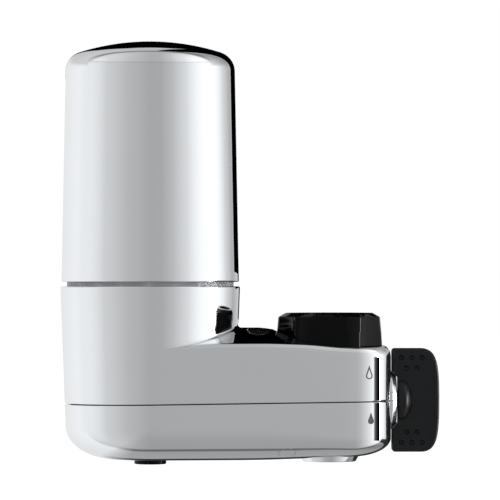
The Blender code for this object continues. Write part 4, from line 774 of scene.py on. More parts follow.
SEAM_LIP = 0.35 * MM
CUP_LIP = 0.5 * MM
# A black strip of painted shade behind the parting line: its half height and its depths
SHADE_STRIP_HALF_HEIGHT = 1.2 * MM
SHADE_STRIP_DEPTHS = (0.1 * MM, 0.6 * MM)  # of its two faces behind the wall
COLLAR_AXIS = (ARM_SPAN, 0, 0)
LEVER_AXIS = (0, 0, LEVER_HEIGHT)

# Heights that cutters reach: inside the housing, and clear above it
INSIDE = 30 * MM
ABOVE = 100 * MM

# Rows of faces: side, rounded edge, deck, cove and cup above the seam, and side, rounding and flat below it
UPPER_ROWS = (10, 8, 18, 6, 10)
UPPER_CAVITY_ROWS = (3, 3, 6, 2, 4)
LOWER_ROWS = (6, 20, 5)
LOWER_CAVITY_ROWS = (2, 6, 2)


def cup_radius(height):
    return CUP_RADIUS - (CUP_HEIGHT - height) * math.tan(CUP_DRAFT)


def seam_height(x):
    return SEAM_HEIGHT + SEAM_RISE * (x - SEAM_PIVOT)


def facing(angle, centre, radius):
    return Vector((centre[0] + radius * math.sin(angle), centre[1] - radius * math.cos(angle)))


def side_tilt(radius, corner):
    """How far the arm's side leans in to be tangent to the cup and to the end's corner."""
    reach = ARM_REACH - ARM_CORNER
    offset = ARM_HALF_WIDTH - ARM_CORNER
    return math.asin((radius - corner) / math.hypot(reach, offset)) - math.atan2(offset, reach)


def evenly_seen(start, end, steps):
    run = end - start
    points = []
    for i in range(steps):
        angle = math.atan2(start.y, start.x)
        angle += (math.atan2(end.y, end.x) - angle) * i / steps
        sight = Vector((math.cos(angle), math.sin(angle)))
        points.append(start - run * (sight.cross(start) / sight.cross(run)))
    return points


def towards_middle(point, distance):
    middle = Vector((min(max(point.x, 0), ARM_SPAN), 0))
    inwards = middle - point
    return point + inwards * min(1.0, distance / inwards.length)


def deck_half_width(x):
    radius = cup_radius(DECK_EDGE_HEIGHT)
    tilt = side_tilt(radius, ARM_CORNER)
    return max(ARM_HALF_WIDTH, radius / math.cos(tilt) - x * math.tan(tilt))


def deck_height(x, y):
    toe_end = 0.8 * cup_radius(DECK_EDGE_HEIGHT)
    edge = DECK_EDGE_HEIGHT - DECK_TOE_DROP * (1 - smoothstep(x, 0, toe_end))
    edge -= DECK_STEP * smoothstep(x, ARM_SPAN - 0.5 * RECESS_RADIUS, ARM_SPAN + 0.5 * RECESS_RADIUS)
    fall = smoothstep(x, ARM_SPAN - 1.3 * RECESS_RADIUS, ARM_SPAN + 0.1 * RECESS_RADIUS)
    crown = DECK_CROWN + (DECK_CROWN_AT_COLLAR - DECK_CROWN) * fall
    across = min(1.0, abs(y) / deck_half_width(x))
    return edge + crown * (1 - across * across)


class Skin:
    """The housing's skin, moved in by inset. Columns go round its plan, and rows up each column."""

    def __init__(self, inset, side, corner, end, cup):
        self.inset = inset
        self.side, self.corner, self.end, self.cup = side, corner, end, cup
        self.arm_columns = 2 * (side + corner + 1) + end - 1
        self.columns = self.arm_columns + cup - 1
        self.plans = {}

    def plan(self, height):
        key = round(height / MM, 4)
        if key not in self.plans:
            radius = cup_radius(height) - self.inset
            rounding = ARM_CORNER - self.inset
            centre = (ARM_REACH - ARM_CORNER, ARM_CORNER - ARM_HALF_WIDTH)
            tilt = side_tilt(radius, rounding)
            front = evenly_seen(
                facing(tilt, (0, 0), radius), facing(tilt, centre, rounding), self.side
            )
            front += [
                facing(tilt + (math.pi / 2 - tilt) * i / self.corner, centre, rounding)
                for i in range(self.corner + 1)
            ]
            back = [Vector((p.x, -p.y)) for p in reversed(front)]
            middle = [front[-1].lerp(back[0], i / self.end) for i in range(1, self.end)]
            cup = [
                facing(math.pi - tilt + (math.pi + 2 * tilt) * i / self.cup, (0, 0), radius)
                for i in range(1, self.cup)
            ]
            self.plans[key] = front + middle + back + cup
        return self.plans[key]

    def at(self, column, height):
        return Vector((*self.plan(height)[column], height))

    def seam(self, column, offset, turn, lip):
        """A point of the rolled edge at the parting line: turn 0 lies on it, past 90 is the side."""
        point = self.plan(SEAM_HEIGHT)[column]
        angle = math.radians(turn)
        height = seam_height(point.x) + math.copysign(abs(offset) + lip * (1 - math.cos(angle)), offset)
        side = self.plan(height)[column]
        inwards = lip * (1 - math.sin(min(angle, math.pi / 2)))
        return Vector((*towards_middle(side, inwards), height))

    def underside(self, column, share):
        """The lower rounding: share 0 is the side, 1 where the flat begins, 2 the middle line."""
        foot = self.plan(UNDERSIDE_RISE)[column]
        blend = smoothstep(foot.x, CUP_RADIUS, ARM_REACH)
        across = UNDERSIDE_REACH + (END_UNDERSIDE_REACH - UNDERSIDE_REACH) * blend - self.inset
        rise = UNDERSIDE_RISE + (END_UNDERSIDE_RISE - UNDERSIDE_RISE) * blend - self.inset
        turn = math.pi / 2 * min(share, 1)
        point = towards_middle(foot, across * (1 - math.cos(turn)))
        if share > 1:
            point = point.lerp(towards_middle(foot, math.inf), share - 1)
        lift = UNDERSIDE_LIFT * smoothstep(point.x, 0.5 * ARM_SPAN, ARM_REACH)
        return Vector((*point, self.inset + lift + rise * (1 - math.sin(turn))))

    def deck(self, column, share):
        """The deck: share 0 to 1 is its rounded edge, 1 to 2 its top, 2 to 3 its cove."""
        if column in (0, self.arm_columns - 1):
            share = 0
        edge = self.plan(DECK_EDGE_HEIGHT)[column]
        start = self.plan(DECK_EDGE_HEIGHT)[0]
        reach = smoothstep(edge.x, start.x, start.x + CUP_RADIUS / 2)
        end = smoothstep(edge.x, ARM_REACH - ARM_CORNER, ARM_REACH)
        across = max(DECK_ROUND_ACROSS - self.inset, GAP) * reach
        down = DECK_ROUND_DOWN + (END_ROUND_DOWN - DECK_ROUND_DOWN) * end
        down = max(down - self.inset, GAP) * reach
        inner = towards_middle(edge, across * (1 - math.cos(DECK_ROUND_TURN)))
        top = deck_height(inner.x, inner.y) - self.inset
        if share <= 1:
            turn = DECK_ROUND_TURN * share
            point = towards_middle(edge, across * (1 - math.cos(turn)))
            return Vector((*point, top - down * (math.sin(DECK_ROUND_TURN) - math.sin(turn))))
        cove = COVE * reach
        outwards = edge.normalized()
        meeting = outwards * (cup_radius(DECK_EDGE_HEIGHT) - self.inset)
        landing = meeting + outwards * cove
        if share <= 2:
            point = inner.lerp(landing, share - 1)
            return Vector((*point, deck_height(point.x, point.y) - self.inset))
        turn = math.pi / 2 * (share - 2)
        base = deck_height(landing.x, landing.y) - self.inset
        out = outwards * cove * (1 - math.sin(turn))
        return Vector((*(meeting + out), base + cove * (1 - math.cos(turn))))

    def cup_side(self, column, height, inset=0.0):
        outwards = self.plan(DECK_EDGE_HEIGHT)[column].normalized()
        return Vector((*(outwards * (cup_radius(height) - self.inset - inset)), height))


def capped(bm, edges):
    bmesh.ops.contextual_create(bm, geom=edges)
    bmesh.ops.remove_doubles(bm, verts=bm.verts, dist=MERGE)
    bmesh.ops.recalc_face_normals(bm, faces=bm.faces)
    return bm


def parted(skin, seam_offset, lip):
    """Starts a solid at the parting line, and rolls its edge where it has a lip."""
    bm, layer, start = started(skin.columns, lambda c: skin.seam(c, seam_offset, 0, lip))
    edges = start
    for turn in (30, 60, 90, 120) if lip else ():
        edges = grown(bm, layer, edges, lambda c, turn=turn: skin.seam(c, seam_offset, turn, lip))
    return bm, layer, start, edges


def upper_solid(skin, seam_offset, lip, rows, top):
    """The cup and arm above the parting line as one closed solid."""
    side_rows, round_rows, deck_rows, cove_rows, cup_rows = rows
    bm, layer, start, edges = parted(skin, seam_offset, lip)
    toe = skin.deck(0, 0).z

    def side_row(step):
        def place(column):
            low = skin.seam(column, seam_offset, 120, lip).z
            high = skin.deck(column, 0).z if column < skin.arm_columns else toe
            if step == side_rows and column < skin.arm_columns:
                return skin.deck(column, 0)
            return skin.at(column, low + (high - low) * step / side_rows)

        return place

    for step in range(1, side_rows + 1):
        edges = grown(bm, layer, edges, side_row(step))
    last = skin.arm_columns - 1

    def on_arm(edge):
        a, b = (vert[layer] for vert in edge.verts)
        return max(a, b) <= last and {a, b} != {0, last}

    arm = [edge for edge in edges if on_arm(edge)]
    rim = [edge for edge in edges if not on_arm(edge)]
    shares = [i / round_rows for i in range(1, round_rows + 1)]
    shares += [1 + i / deck_rows for i in range(1, deck_rows + 1)]
    shares += [2 + i / cove_rows for i in range(1, cove_rows + 1)]
    for share in shares:
        arm = grown(bm, layer, arm, lambda c, share=share: skin.deck(c, share))
    bmesh.ops.remove_doubles(bm, verts=bm.verts, dist=MERGE)
    low = toe - GAP
    rim = [edge for edge in bm.edges if edge.is_boundary and min(v.co.z for v in edge.verts) > low]
    foot = {}
    for edge in rim:
        for vert in edge.verts:
            foot[vert[layer]] = vert.co.z
    lip_height = top - CUP_LIP
    for step in range(1, cup_rows + 1):

        def cup_row(column, step=step):
            height = foot[column] + (lip_height - foot[column]) * step / cup_rows
            return skin.cup_side(column, height)

        rim = grown(bm, layer, rim, cup_row)
    for turn in (22, 45, 67, 90):
        angle = math.radians(turn)
        inset = CUP_LIP * (1 - math.cos(angle))
        height = lip_height + CUP_LIP * math.sin(angle)
        rim = grown(bm, layer, rim, lambda c, h=height, i=inset: skin.cup_side(c, h, i))
    mouth = [edge for edge in bm.edges if edge.is_boundary and edge.verts[0].co.z > low]
    bmesh.ops.contextual_create(bm, geom=mouth)
    return capped(bm, [edge for edge in start if edge.is_valid])


def lower_solid(skin, seam_offset, lip, rows):
    """The pan below the parting line as one closed solid."""
    side_rows, round_rows, flat_rows = rows
    bm, layer, start, edges = parted(skin, seam_offset, lip)
    for step in range(1, side_rows):

        def side_row(column, step=step):
            high = skin.seam(column, seam_offset, 120, lip).z
            low = skin.underside(column, 0).z
            return skin.at(column, high + (low - high) * step / side_rows)

        edges = grown(bm, layer, edges, side_row)
    shares = [i / round_rows for i in range(round_rows + 1)]
    shares += [1 + i / flat_rows for i in range(1, flat_rows + 1)]
    for share in shares:
        edges = grown(bm, layer, edges, lambda c, share=share: skin.underside(c, share))
    bmesh.ops.remove_doubles(bm, verts=bm.verts, dist=0.02 * MM)
    return capped(bm, [edge for edge in start if edge.is_valid])


def half_space(above):
    """A large block on one side of the parting line."""
    reach = 0.3
    side = 1 if above else -1
    near, far = side * GAP / 2, side * reach
    outline = [(-reach, near), (reach, near), (reach, far), (-reach, far)]
    bm = slab(outline, -reach, reach, height=0)
    tilt = Matrix.Rotation(-math.atan(SEAM_RISE), 4, "Y")
    place = Matrix.Translation((SEAM_PIVOT, 0, SEAM_HEIGHT)) @ tilt
    bmesh.ops.transform(bm, matrix=place, verts=bm.verts)
    return solid_object("half_space", bm)


def boss(above):
    """Half of the round boss on the arm's end face."""
    root, tip = ARM_REACH - WALL, ARM_REACH + BOSS_LENGTH
    profile = rounded(
        [
            (0, root, 0),
            (BOSS_RADIUS, root, 0),
            (BOSS_RADIUS, ARM_REACH + 0.5 * MM, 0.5 * MM),
            (BOSS_TIP_RADIUS, tip, 0.9 * MM),
            (0, tip, 0),
        ],
        8,
    )
    made = turned("boss", profile, 192, LEVER_AXIS, along_x=True)
    combined(made, half_space(not above))
    return made


def spindle_hole():
    return rod(SPINDLE_HOLE, ARM_REACH - 4 * WALL, ARM_REACH + 2 * WALL, 48, LEVER_AXIS, along_x=True)


def make_upper(fine, coarse):
    shell = solid_object("housing_upper", upper_solid(fine, GAP / 2, SEAM_LIP, UPPER_ROWS, CUP_HEIGHT))
    combined(shell, boss(True), "UNION")
    cavity = solid_object("cavity", upper_solid(coarse, -WALL, 0, UPPER_CAVITY_ROWS, CUP_HEIGHT + WALL))
    combined(cavity, rod(RECESS_RADIUS + RECESS_WALL, RECESS_FLOOR - WALL, ABOVE, 128, COLLAR_AXIS))
    skirt = slab(oval(LENS_CENTRE, LENS_HALF, 48, LENS_SKIRT), LENS_SKIRT_FOOT, ABOVE)
    combined(cavity, solid_object("skirt", skirt))
    for x, y, top in SCREW_POSTS:
        combined(cavity, rod(SCREW_POST_RADIUS, 0, top, 32, (x, y, 0)))
    combined(shell, cavity)
    combined(shell, rod(RECESS_RADIUS, RECESS_FLOOR, ABOVE, 160, COLLAR_AXIS))
    combined(shell, rod(STEM_HOLE, INSIDE, ABOVE, 64, COLLAR_AXIS))
    lens_hole = slab(oval(LENS_CENTRE, LENS_HALF, 96, GAP), INSIDE, ABOVE)
    combined(shell, solid_object("lens_hole", lens_hole))
    button_hole = slab(stadium(BUTTON_HALF, GAP), 0.8 * CUP_RADIUS, 1.2 * CUP_RADIUS, BUTTON_HEIGHT)
    combined(shell, solid_object("button_hole", button_hole))
    combined(shell, spindle_hole())
    dressed(shell, "base", "bright_chrome", "chrome_shell", "upper_shell", sharp=32)


def make_lower(fine, coarse):
    shell = solid_object("housing_lower", lower_solid(fine, -GAP / 2, SEAM_LIP, LOWER_ROWS))
    combined(shell, boss(False), "UNION")
    cavity = solid_object("cavity", lower_solid(coarse, WALL, 0, LOWER_CAVITY_ROWS))
    for x, y, _ in SCREW_POSTS:
        combined(cavity, rod(SCREW_POST_RADIUS, -WALL, INSIDE, 32, (x, y, 0)))
    combined(shell, cavity)
    combined(shell, rod(NOZZLE_HOLE, -WALL, 2 * WALL, 64))
    combined(shell, rod(OUTLET_HOLE, -WALL, 3 * WALL, 96, COLLAR_AXIS))
    for x, y, _ in SCREW_POSTS:
        combined(shell, rod(SCREW_HEAD_RADIUS + GAP, -WALL, SCREW_HOLE_TOP, 40, (x, y, 0)))
    combined(shell, spindle_hole())
    dressed(shell, "base", "bright_chrome", "chrome_shell", "lower_shell", sharp=32)


def make_seam_shade():
    """A black strip inside the walls as painted shade, standing in for the shade inside the housing, so
    that no light shows through the parting line.
    """
    outer, inner = (Skin(WALL + depth, 8, 6, 2, 60) for depth in SHADE_STRIP_DEPTHS)
    half = SHADE_STRIP_HALF_HEIGHT
    bm, layer, edges = started(outer.columns, lambda c: outer.seam(c, -half, 0, 0))
    for skin, offset in ((outer, half), (inner, half), (inner, -half), (outer, -half)):
        edges = grown(bm, layer, edges, lambda c, s=skin, o=offset: s.seam(c, o, 0, 0))
    bmesh.ops.remove_doubles(bm, verts=bm.verts, dist=MERGE)
    strip = solid_object("seam_shade_strip", bm)
    combined(strip, rod(BOSS_RADIUS, ARM_REACH - 5 * WALL, ARM_REACH, 64, LEVER_AXIS, along_x=True))
    # The rubber finish only gives this strip of painted shade its black
    dressed(strip, "base", "rubber", "rubber", sharp=0)


def make_plugs(fine):
    """Chrome plugs that close the screws' holes flush with the underside."""
    radius, top = SCREW_HEAD_RADIUS + GAP - 0.1 * MM, SCREW_HEAD_BOTTOM - 0.5 * MM
    for i, (x, y, _) in enumerate(SCREW_POSTS, 1):
        plug = rod(radius, -WALL, top, 64, (x, y, 0), name=f"screw_plug_{i}")
        skin = solid_object("skin", lower_solid(fine, -GAP / 2, SEAM_LIP, LOWER_ROWS))
        combined(plug, skin, "INTERSECT")
        dressed(plug, "base", "bright_chrome", "chrome_shell")


class MakeHousing(bpy.types.Operator):
    """Makes the chrome cup and arm and the pan below its parting line"""

    bl_idname = "faucet_filter.housing"
    bl_label = "Housing"

    def execute(self, context):
        fine = Skin(0.0, sizes().housing_columns, 14, 12, 110)
        coarse = Skin(WALL, 8, 6, 2, 60)
        make_upper(fine, coarse)
        make_lower(fine, coarse)
        make_seam_shade()
        make_plugs(fine)
        return {"FINISHED"}


# Canister

CANISTER_FOOT = 63.7 * MM
CANISTER_FOOT_RADIUS = 31.9 * MM
CANISTER_SHOULDER = 30.45 * MM
CANISTER_CORNER = 7.0 * MM
CANISTER_CROWN = 84.0 * MM
CANISTER_TOP = 150.1 * MM
CANISTER_WALL = 1.5 * MM


def canister_outline(inset, corner_steps, crown_steps, side_steps=1):
    """Foot to apex, moved in by inset."""
    corner = CANISTER_CORNER - inset
    crown = CANISTER_CROWN - inset
    crown_centre = CANISTER_TOP - CANISTER_CROWN
    corner_x = CANISTER_SHOULDER - CANISTER_CORNER
    rise = math.sqrt((crown - corner) ** 2 - corner_x**2)
    turn = math.degrees(math.atan2(rise, corner_x))
    bend = arc((corner_x, crown_centre + rise), corner, 0, turn, corner_steps)
    dome = arc((0, crown_centre), crown, turn, 90, crown_steps)[1:-1]
    straight = bend[0][1] - CANISTER_FOOT
    slope = (CANISTER_FOOT_RADIUS - CANISTER_SHOULDER) / straight
    side = []
    for i in range(side_steps):
        height = CANISTER_FOOT + straight * i / side_steps
        side.append((CANISTER_SHOULDER - inset + slope * (bend[0][1] - height), height))
    return [*side, *bend, *dome, (0, CANISTER_TOP - inset)]


class MakeCanister(bpy.types.Operator):
    """Makes the chrome cover of the cartridge"""

    bl_idname = "faucet_filter.canister"
    bl_label = "Canister"

    def execute(self, context):
        outer = canister_outline(0, 24, 24, 12)
        inner = canister_outline(CANISTER_WALL, 8, 8)
        rim = rounded([(*inner[0], 0), (*outer[0], sizes().lip), (*outer[1], 0)], 6)
        profile = [*reversed(inner[1:]), *rim[:-1], *outer[1:]]
        canister = turned("canister", profile, sizes().canister_steps)
        dressed(canister, "cartridge", "bright_chrome", "chrome_shell", "canister_shell")
        return {"FINISHED"}


# Collar

COLLAR_FOOT = 39.0 * MM
COLLAR_TOP = 52.6 * MM
COLLAR_RADIUS = 19.2 * MM
COLLAR_BORE = 10.9 * MM
COLLAR_LIP_RADIUS = 8.75 * MM
COLLAR_LIP_TOP = 42.1 * MM
SCOOPS = 6
SCOOP_START = math.radians(-93.5)
SCOOP_RADIUS = 45.0 * MM
SCOOP_CENTRE = 62.05 * MM
THREAD_PITCH = 1.2 * MM
THREAD_DEPTH = 0.45 * MM


def softer(first, second, width):
    """The smaller of two lengths, with a rounded change from one to the other."""
    share = min(1.0, max(0.0, 0.5 + (second - first) / (2 * width)))
    return second + (first - second) * share - width * share * (1 - share)


def scooped(radius, angle):
    pitch = math.tau / SCOOPS
    off = (angle - SCOOP_START + pitch / 2) % pitch - pitch / 2
    reach = SCOOP_CENTRE * math.cos(off) - math.sqrt(SCOOP_RADIUS**2 - (SCOOP_CENTRE * math.sin(off)) ** 2)
    return softer(radius, reach, 0.35 * MM)


def threaded(height, angle):
    """The thread's crests as a depth into the bore, fading out at both of its ends."""
    turn = (height / THREAD_PITCH - angle / math.tau) % 1.0
    crest = smoothstep(1 - abs(2 * turn - 1), 0.25, 0.75)
    start, end = COLLAR_LIP_TOP + 0.8 * MM, COLLAR_TOP - 0.6 * MM
    fade = smoothstep(height, start, start + MM) * (1 - smoothstep(height, end - MM, end))
    return THREAD_DEPTH * crest * fade


class MakeCollar(bpy.types.Operator):
    """Makes the black nut with its six scoops and its thread"""

    bl_idname = "faucet_filter.collar"
    bl_label = "Collar"

    def execute(self, context):
        edge = 0.35 * MM
        outside = rounded(
            [
                (COLLAR_LIP_RADIUS, COLLAR_FOOT, 0),
                (18.95 * MM, COLLAR_FOOT, 0.25 * MM),
                (COLLAR_RADIUS, COLLAR_FOOT + 0.3 * MM, 0.3 * MM),
                (18.8 * MM, 45.8 * MM, 4 * MM),
                (18.3 * MM, 51.1 * MM, 0.5 * MM),
                (15.6 * MM, COLLAR_TOP, edge),
                (COLLAR_BORE, COLLAR_TOP, edge),
                (COLLAR_BORE, COLLAR_TOP - MM, 0),
            ],
            6,
        )
        rows = 60
        bore_height = COLLAR_TOP - MM - COLLAR_LIP_TOP
        bore = [(COLLAR_BORE, COLLAR_TOP - MM - bore_height * i / rows) for i in range(1, rows + 1)]
        bm = spun([*outside, *bore, (COLLAR_LIP_RADIUS, COLLAR_LIP_TOP)], 240)
        for vert in bm.verts:
            radius, angle = math.hypot(vert.co.x, vert.co.y), math.atan2(vert.co.y, vert.co.x)
            if radius > 0.6 * COLLAR_RADIUS:
                reach = scooped(radius, angle)
            elif radius > COLLAR_BORE - 0.01 * MM:
                reach = radius - threaded(vert.co.z, angle)
            else:
                continue
            vert.co.xy = (reach * math.cos(angle), reach * math.sin(angle))
        nut = solid_object("collar_nut", bm)
        place = FOOT + Vector(COLLAR_AXIS)
        dressed(nut, "collar", "gloss_black", "gloss_black", "collar", at=place, sharp=35)
        return {"FINISHED"}


# Lever

LEVER_LEFT = 86.8 * MM
LEVER_RIGHT = 103.9 * MM
LEVER_HALF_HEIGHT = 18.6 * MM
LEVER_HALF_THICKNESS = 4.2 * MM
LEVER_EDGE = 1.2 * MM
HUB_START = 89.2 * MM
HUB_RADIUS = 8.3 * MM
HUB_BASE = 90.4 * MM
HUB_DOME = 4.3 * MM
DIMPLE_DEPTH = 0.75 * MM
DIMPLE_PITCH = 3.75 * MM
DIMPLE_INSET = 3.4 * MM

# The room that the paddle leaves round the boss, and the hub's bore for the spindle, as (radius, x)
LEVER_RELIEF = in_mm((0, 84.2), (11.0, 84.2), (10.9, 87.2), (9.1, 88.9), (0, 88.9))
HUB_BORE = in_mm((0, 86.3), (3.3, 86.3), (3.3, 98.05), (0, 98.05))


def lever_outline():
    width = LEVER_RIGHT - LEVER_LEFT
    half = LEVER_HALF_HEIGHT
    start = Vector((LEVER_LEFT + 0.61 * width, half))
    bulge = interpolate_bezier(
        start,
        start + Vector((0.36 * width, 0)),
        Vector((LEVER_RIGHT, 0.67 * half)),
        Vector((LEVER_RIGHT, 0)),
        32,
    )
    corner = arc((LEVER_LEFT + LEVER_EDGE, half - LEVER_EDGE), LEVER_EDGE, 180, 90, 8)
    upper = [*corner, *[tuple(p) for p in bulge]]
    return [*upper, *[(x, -z) for x, z in reversed(upper[:-1])]]


def dimple_balls():
    """Balls that press the finger dimples into both faces."""
    rim = sizes().dimple_radius
    ball = (rim**2 + DIMPLE_DEPTH**2) / (2 * DIMPLE_DEPTH)
    bm = bmesh.new()
    first = LEVER_LEFT + DIMPLE_INSET
    outer = LEVER_HALF_HEIGHT - DIMPLE_INSET
    for side in (-1, 1):
        for end in (-1, 1):
            for shift, count, height in ((0, 3, outer), (0.5, 2, outer - DIMPLE_PITCH)):
                for i in range(count):
                    place = (
                        first + (i + shift) * DIMPLE_PITCH,
                        side * (LEVER_HALF_THICKNESS + ball - DIMPLE_DEPTH),
                        LEVER_HEIGHT + end * height,
                    )
                    bmesh.ops.create_icosphere(
                        bm, subdivisions=3, radius=ball, matrix=Matrix.Translation(place)
                    )
    return solid_object("dimples", bm)


class MakeLever(bpy.types.Operator):
    """Makes the black paddle with its hub and finger dimples"""

    bl_idname = "faucet_filter.lever"
    bl_label = "Lever"

    def execute(self, context):
        half = LEVER_HALF_THICKNESS
        bm = slab(lever_outline(), -half, half, LEVER_HEIGHT)
        rims = [e for e in bm.edges if abs(e.verts[0].co.y - e.verts[1].co.y) < MERGE]
        bevelled(bm, rims, LEVER_EDGE - 0.1 * MM, 7)
        lever = solid_object("lever_paddle", bm)
        rim = rounded(
            [(0, HUB_START, 0), (HUB_RADIUS, HUB_START, 0.3 * MM), (HUB_RADIUS, HUB_BASE, 0)], 5
        )
        angles = [math.radians(a) for a in range(0, 90, 5)]
        dome = [(HUB_RADIUS * math.cos(a), HUB_BASE + HUB_DOME * math.sin(a)) for a in angles]
        hub = [*rim[:-1], *dome, (0, HUB_BASE + HUB_DOME)]
        combined(lever, turned("relief", LEVER_RELIEF, 96, LEVER_AXIS, along_x=True))
        combined(lever, turned("hub", hub, 128, LEVER_AXIS, along_x=True), "UNION")
        combined(lever, turned("bore", HUB_BORE, 48, LEVER_AXIS, along_x=True))
        combined(lever, dimple_balls())
        dressed(lever, "lever", "satin_black", "satin_black", "lever", sharp=28)
        return {"FINISHED"}


# Outlets, window, release button and screws, with turned profiles as (radius, height, rounding)

NOZZLE = in_mm(
    (3.5, -0.6, 0.2), (4.1, -1.8, 0.25), (5.8, -1.8, 0.4), (5.8, 2.3, 0.1), (8.0, 2.3, 0.2),
    (8.0, 4.3, 0.2), (4.7, 4.3, 0.1), (4.7, 12.0, 0.2), (3.5, 12.0, 0),
)
OUTLET_RIM = in_mm(
    (8.6, -0.8, 0), (9.5, -0.8, 0.6), (10.8, 1.4, 1.4), (10.8, 4.0, 0.1), (12.0, 4.0, 0.2),
    (12.0, 6.0, 0.2), (9.5, 6.0, 0.2), (9.5, 0.1, 0.1), (8.6, 0.1, 0),
)
SPRAY_FACE = in_mm((0, 0.4, 0), (9.2, 0.4, 0.25), (9.2, 2.0, 0.2), (0, 2.0, 0))
SPRAY_HOLES = ((2.2 * MM, 1, 0), (0.5 * MM, 5, 4.6 * MM), (0.5 * MM, 9, 6.8 * MM))  # radius, count, circle


class MakeOutlets(bpy.types.Operator):
    """Makes the filtered nozzle and the bypass outlet with its spray plate"""

    bl_idname = "faucet_filter.outlets"
    bl_label = "Outlets"

    def execute(self, context):
        below_collar = FOOT + Vector(COLLAR_AXIS)
        nozzle = solid_object("nozzle", spun(rounded(NOZZLE, 4), 96))
        dressed(nozzle, "base", "gloss_black", "gloss_black", "filtered_nozzle")
        rim = solid_object("outlet_rim", spun(rounded(OUTLET_RIM, 5), 144))
        dressed(rim, "base", "bright_chrome", "chrome_shell", "outlet_ring", at=below_collar)
        plate = turned("spray_face", rounded(SPRAY_FACE, 4), 96)
        for radius, count, circle in SPRAY_HOLES:
            for i in range(count):
                turn = math.tau * i / count
                place = (circle * math.cos(turn), circle * math.sin(turn), 0)
                combined(plate, rod(radius, -MM, 4 * MM, 32, place))
        dressed(plate, "base", "grey_plastic", "grey_plastic", "spray_plate", at=below_collar)
        return {"FINISHED"}


class MakeWindow(bpy.types.Operator):
    """Makes the smoked window of the status light, domed with the deck"""

    bl_idname = "faucet_filter.window"
    bl_label = "Status window"

    def execute(self, context):
        steps, foot_height, edge, proud = 96, 43.0 * MM, 0.3 * MM, 0.15 * MM
        centre = Vector(LENS_CENTRE)

        def at(column, inset, drop=None):
            angle = math.tau * column / steps
            x = centre.x + (LENS_HALF[0] - inset) * math.cos(angle)
            y = centre.y + (LENS_HALF[1] - inset) * math.sin(angle)
            return Vector((x, y, foot_height if drop is None else deck_height(x, y) + proud - drop))

        bm, layer, foot = started(steps, lambda c: at(c, 0))
        edges = grown(bm, layer, foot, lambda c: at(c, 0, edge + 0.1 * MM))
        for turn in (0, 22, 45, 67, 90):
            angle = math.radians(turn)
            inset, drop = edge * (1 - math.cos(angle)), edge * (1 - math.sin(angle))
            edges = grown(bm, layer, edges, lambda c, i=inset, d=drop: at(c, i, d))
        for inset in (1.0, 1.8, 2.6, 3.4, 3.9):
            edges = grown(bm, layer, edges, lambda c, i=inset * MM: at(c, i, 0))
        bmesh.ops.contextual_create(bm, geom=edges)
        bmesh.ops.contextual_create(bm, geom=foot)
        dressed(solid_object("window", bm), "base", "smoked_lens", "lens", "indicator_lens")
        return {"FINISHED"}


class MakeButton(bpy.types.Operator):
    """Makes the release button at the back of the cup, with the flange that keeps it in"""

    bl_idname = "faucet_filter.button"
    bl_label = "Release button"

    def execute(self, context):
        wall = cup_radius(BUTTON_HEIGHT)
        margin, flange = 1.5 * MM, 1.0 * MM
        inner = math.sqrt((wall - WALL) ** 2 - (BUTTON_HALF[0] + margin) ** 2) - GAP
        bm = slab(stadium(BUTTON_HALF, 0, 24), inner - GAP, wall + 0.6 * MM, BUTTON_HEIGHT)
        bevelled(bm, list(outermost(bm).edges), 0.5 * MM, 5)
        face = outermost(bm)
        bmesh.ops.inset_region(bm, faces=[face], thickness=1.3 * MM, depth=0)
        bmesh.ops.inset_region(bm, faces=[face], thickness=0.5 * MM, depth=-0.3 * MM)
        button = solid_object("release_cap", bm)
        rim = slab(stadium(BUTTON_HALF, margin, 24), inner - flange, inner, BUTTON_HEIGHT)
        combined(button, solid_object("flange", rim), "UNION")
        dressed(button, "release_button", "satin_black", "satin_black", "release_button", sharp=35)
        return {"FINISHED"}


class MakeSpring(bpy.types.Operator):
    """Makes the button's return spring, which stands on the socket"""

    bl_idname = "faucet_filter.spring"
    bl_label = "Button spring"

    def execute(self, context):
        wire, turns, travel = 0.25 * MM, 2, 1.5 * MM
        low, high = (Vector(corner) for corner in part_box("button_spring"))
        middle = (low + high) / 2
        radius = (high.x - low.x) / 2 - wire
        rise = high.y - low.y - 2 * wire
        start = Vector((middle.x + radius, low.y + wire, middle.z))
        bm = bmesh.new()
        section = bmesh.ops.create_circle(bm, segments=10, radius=wire)["verts"]
        bmesh.ops.translate(bm, verts=section, vec=start)
        steps = 36 * turns
        bmesh.ops.spin(
            bm,
            geom=[*section, *bm.edges],
            cent=(middle.x, start.y, middle.z),
            axis=(0, 1, 0),
            dvec=(0, rise / steps, 0),
            angle=math.tau * turns,
            steps=steps,
        )
        bmesh.ops.holes_fill(bm, edges=bm.edges, sides=0)
        spring = solid_object("return_spring", bm)
        dressed(spring, "base", "steel", "steel", "button_spring", at=(0, 0, 0))
        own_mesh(spring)
        return {"FINISHED"}


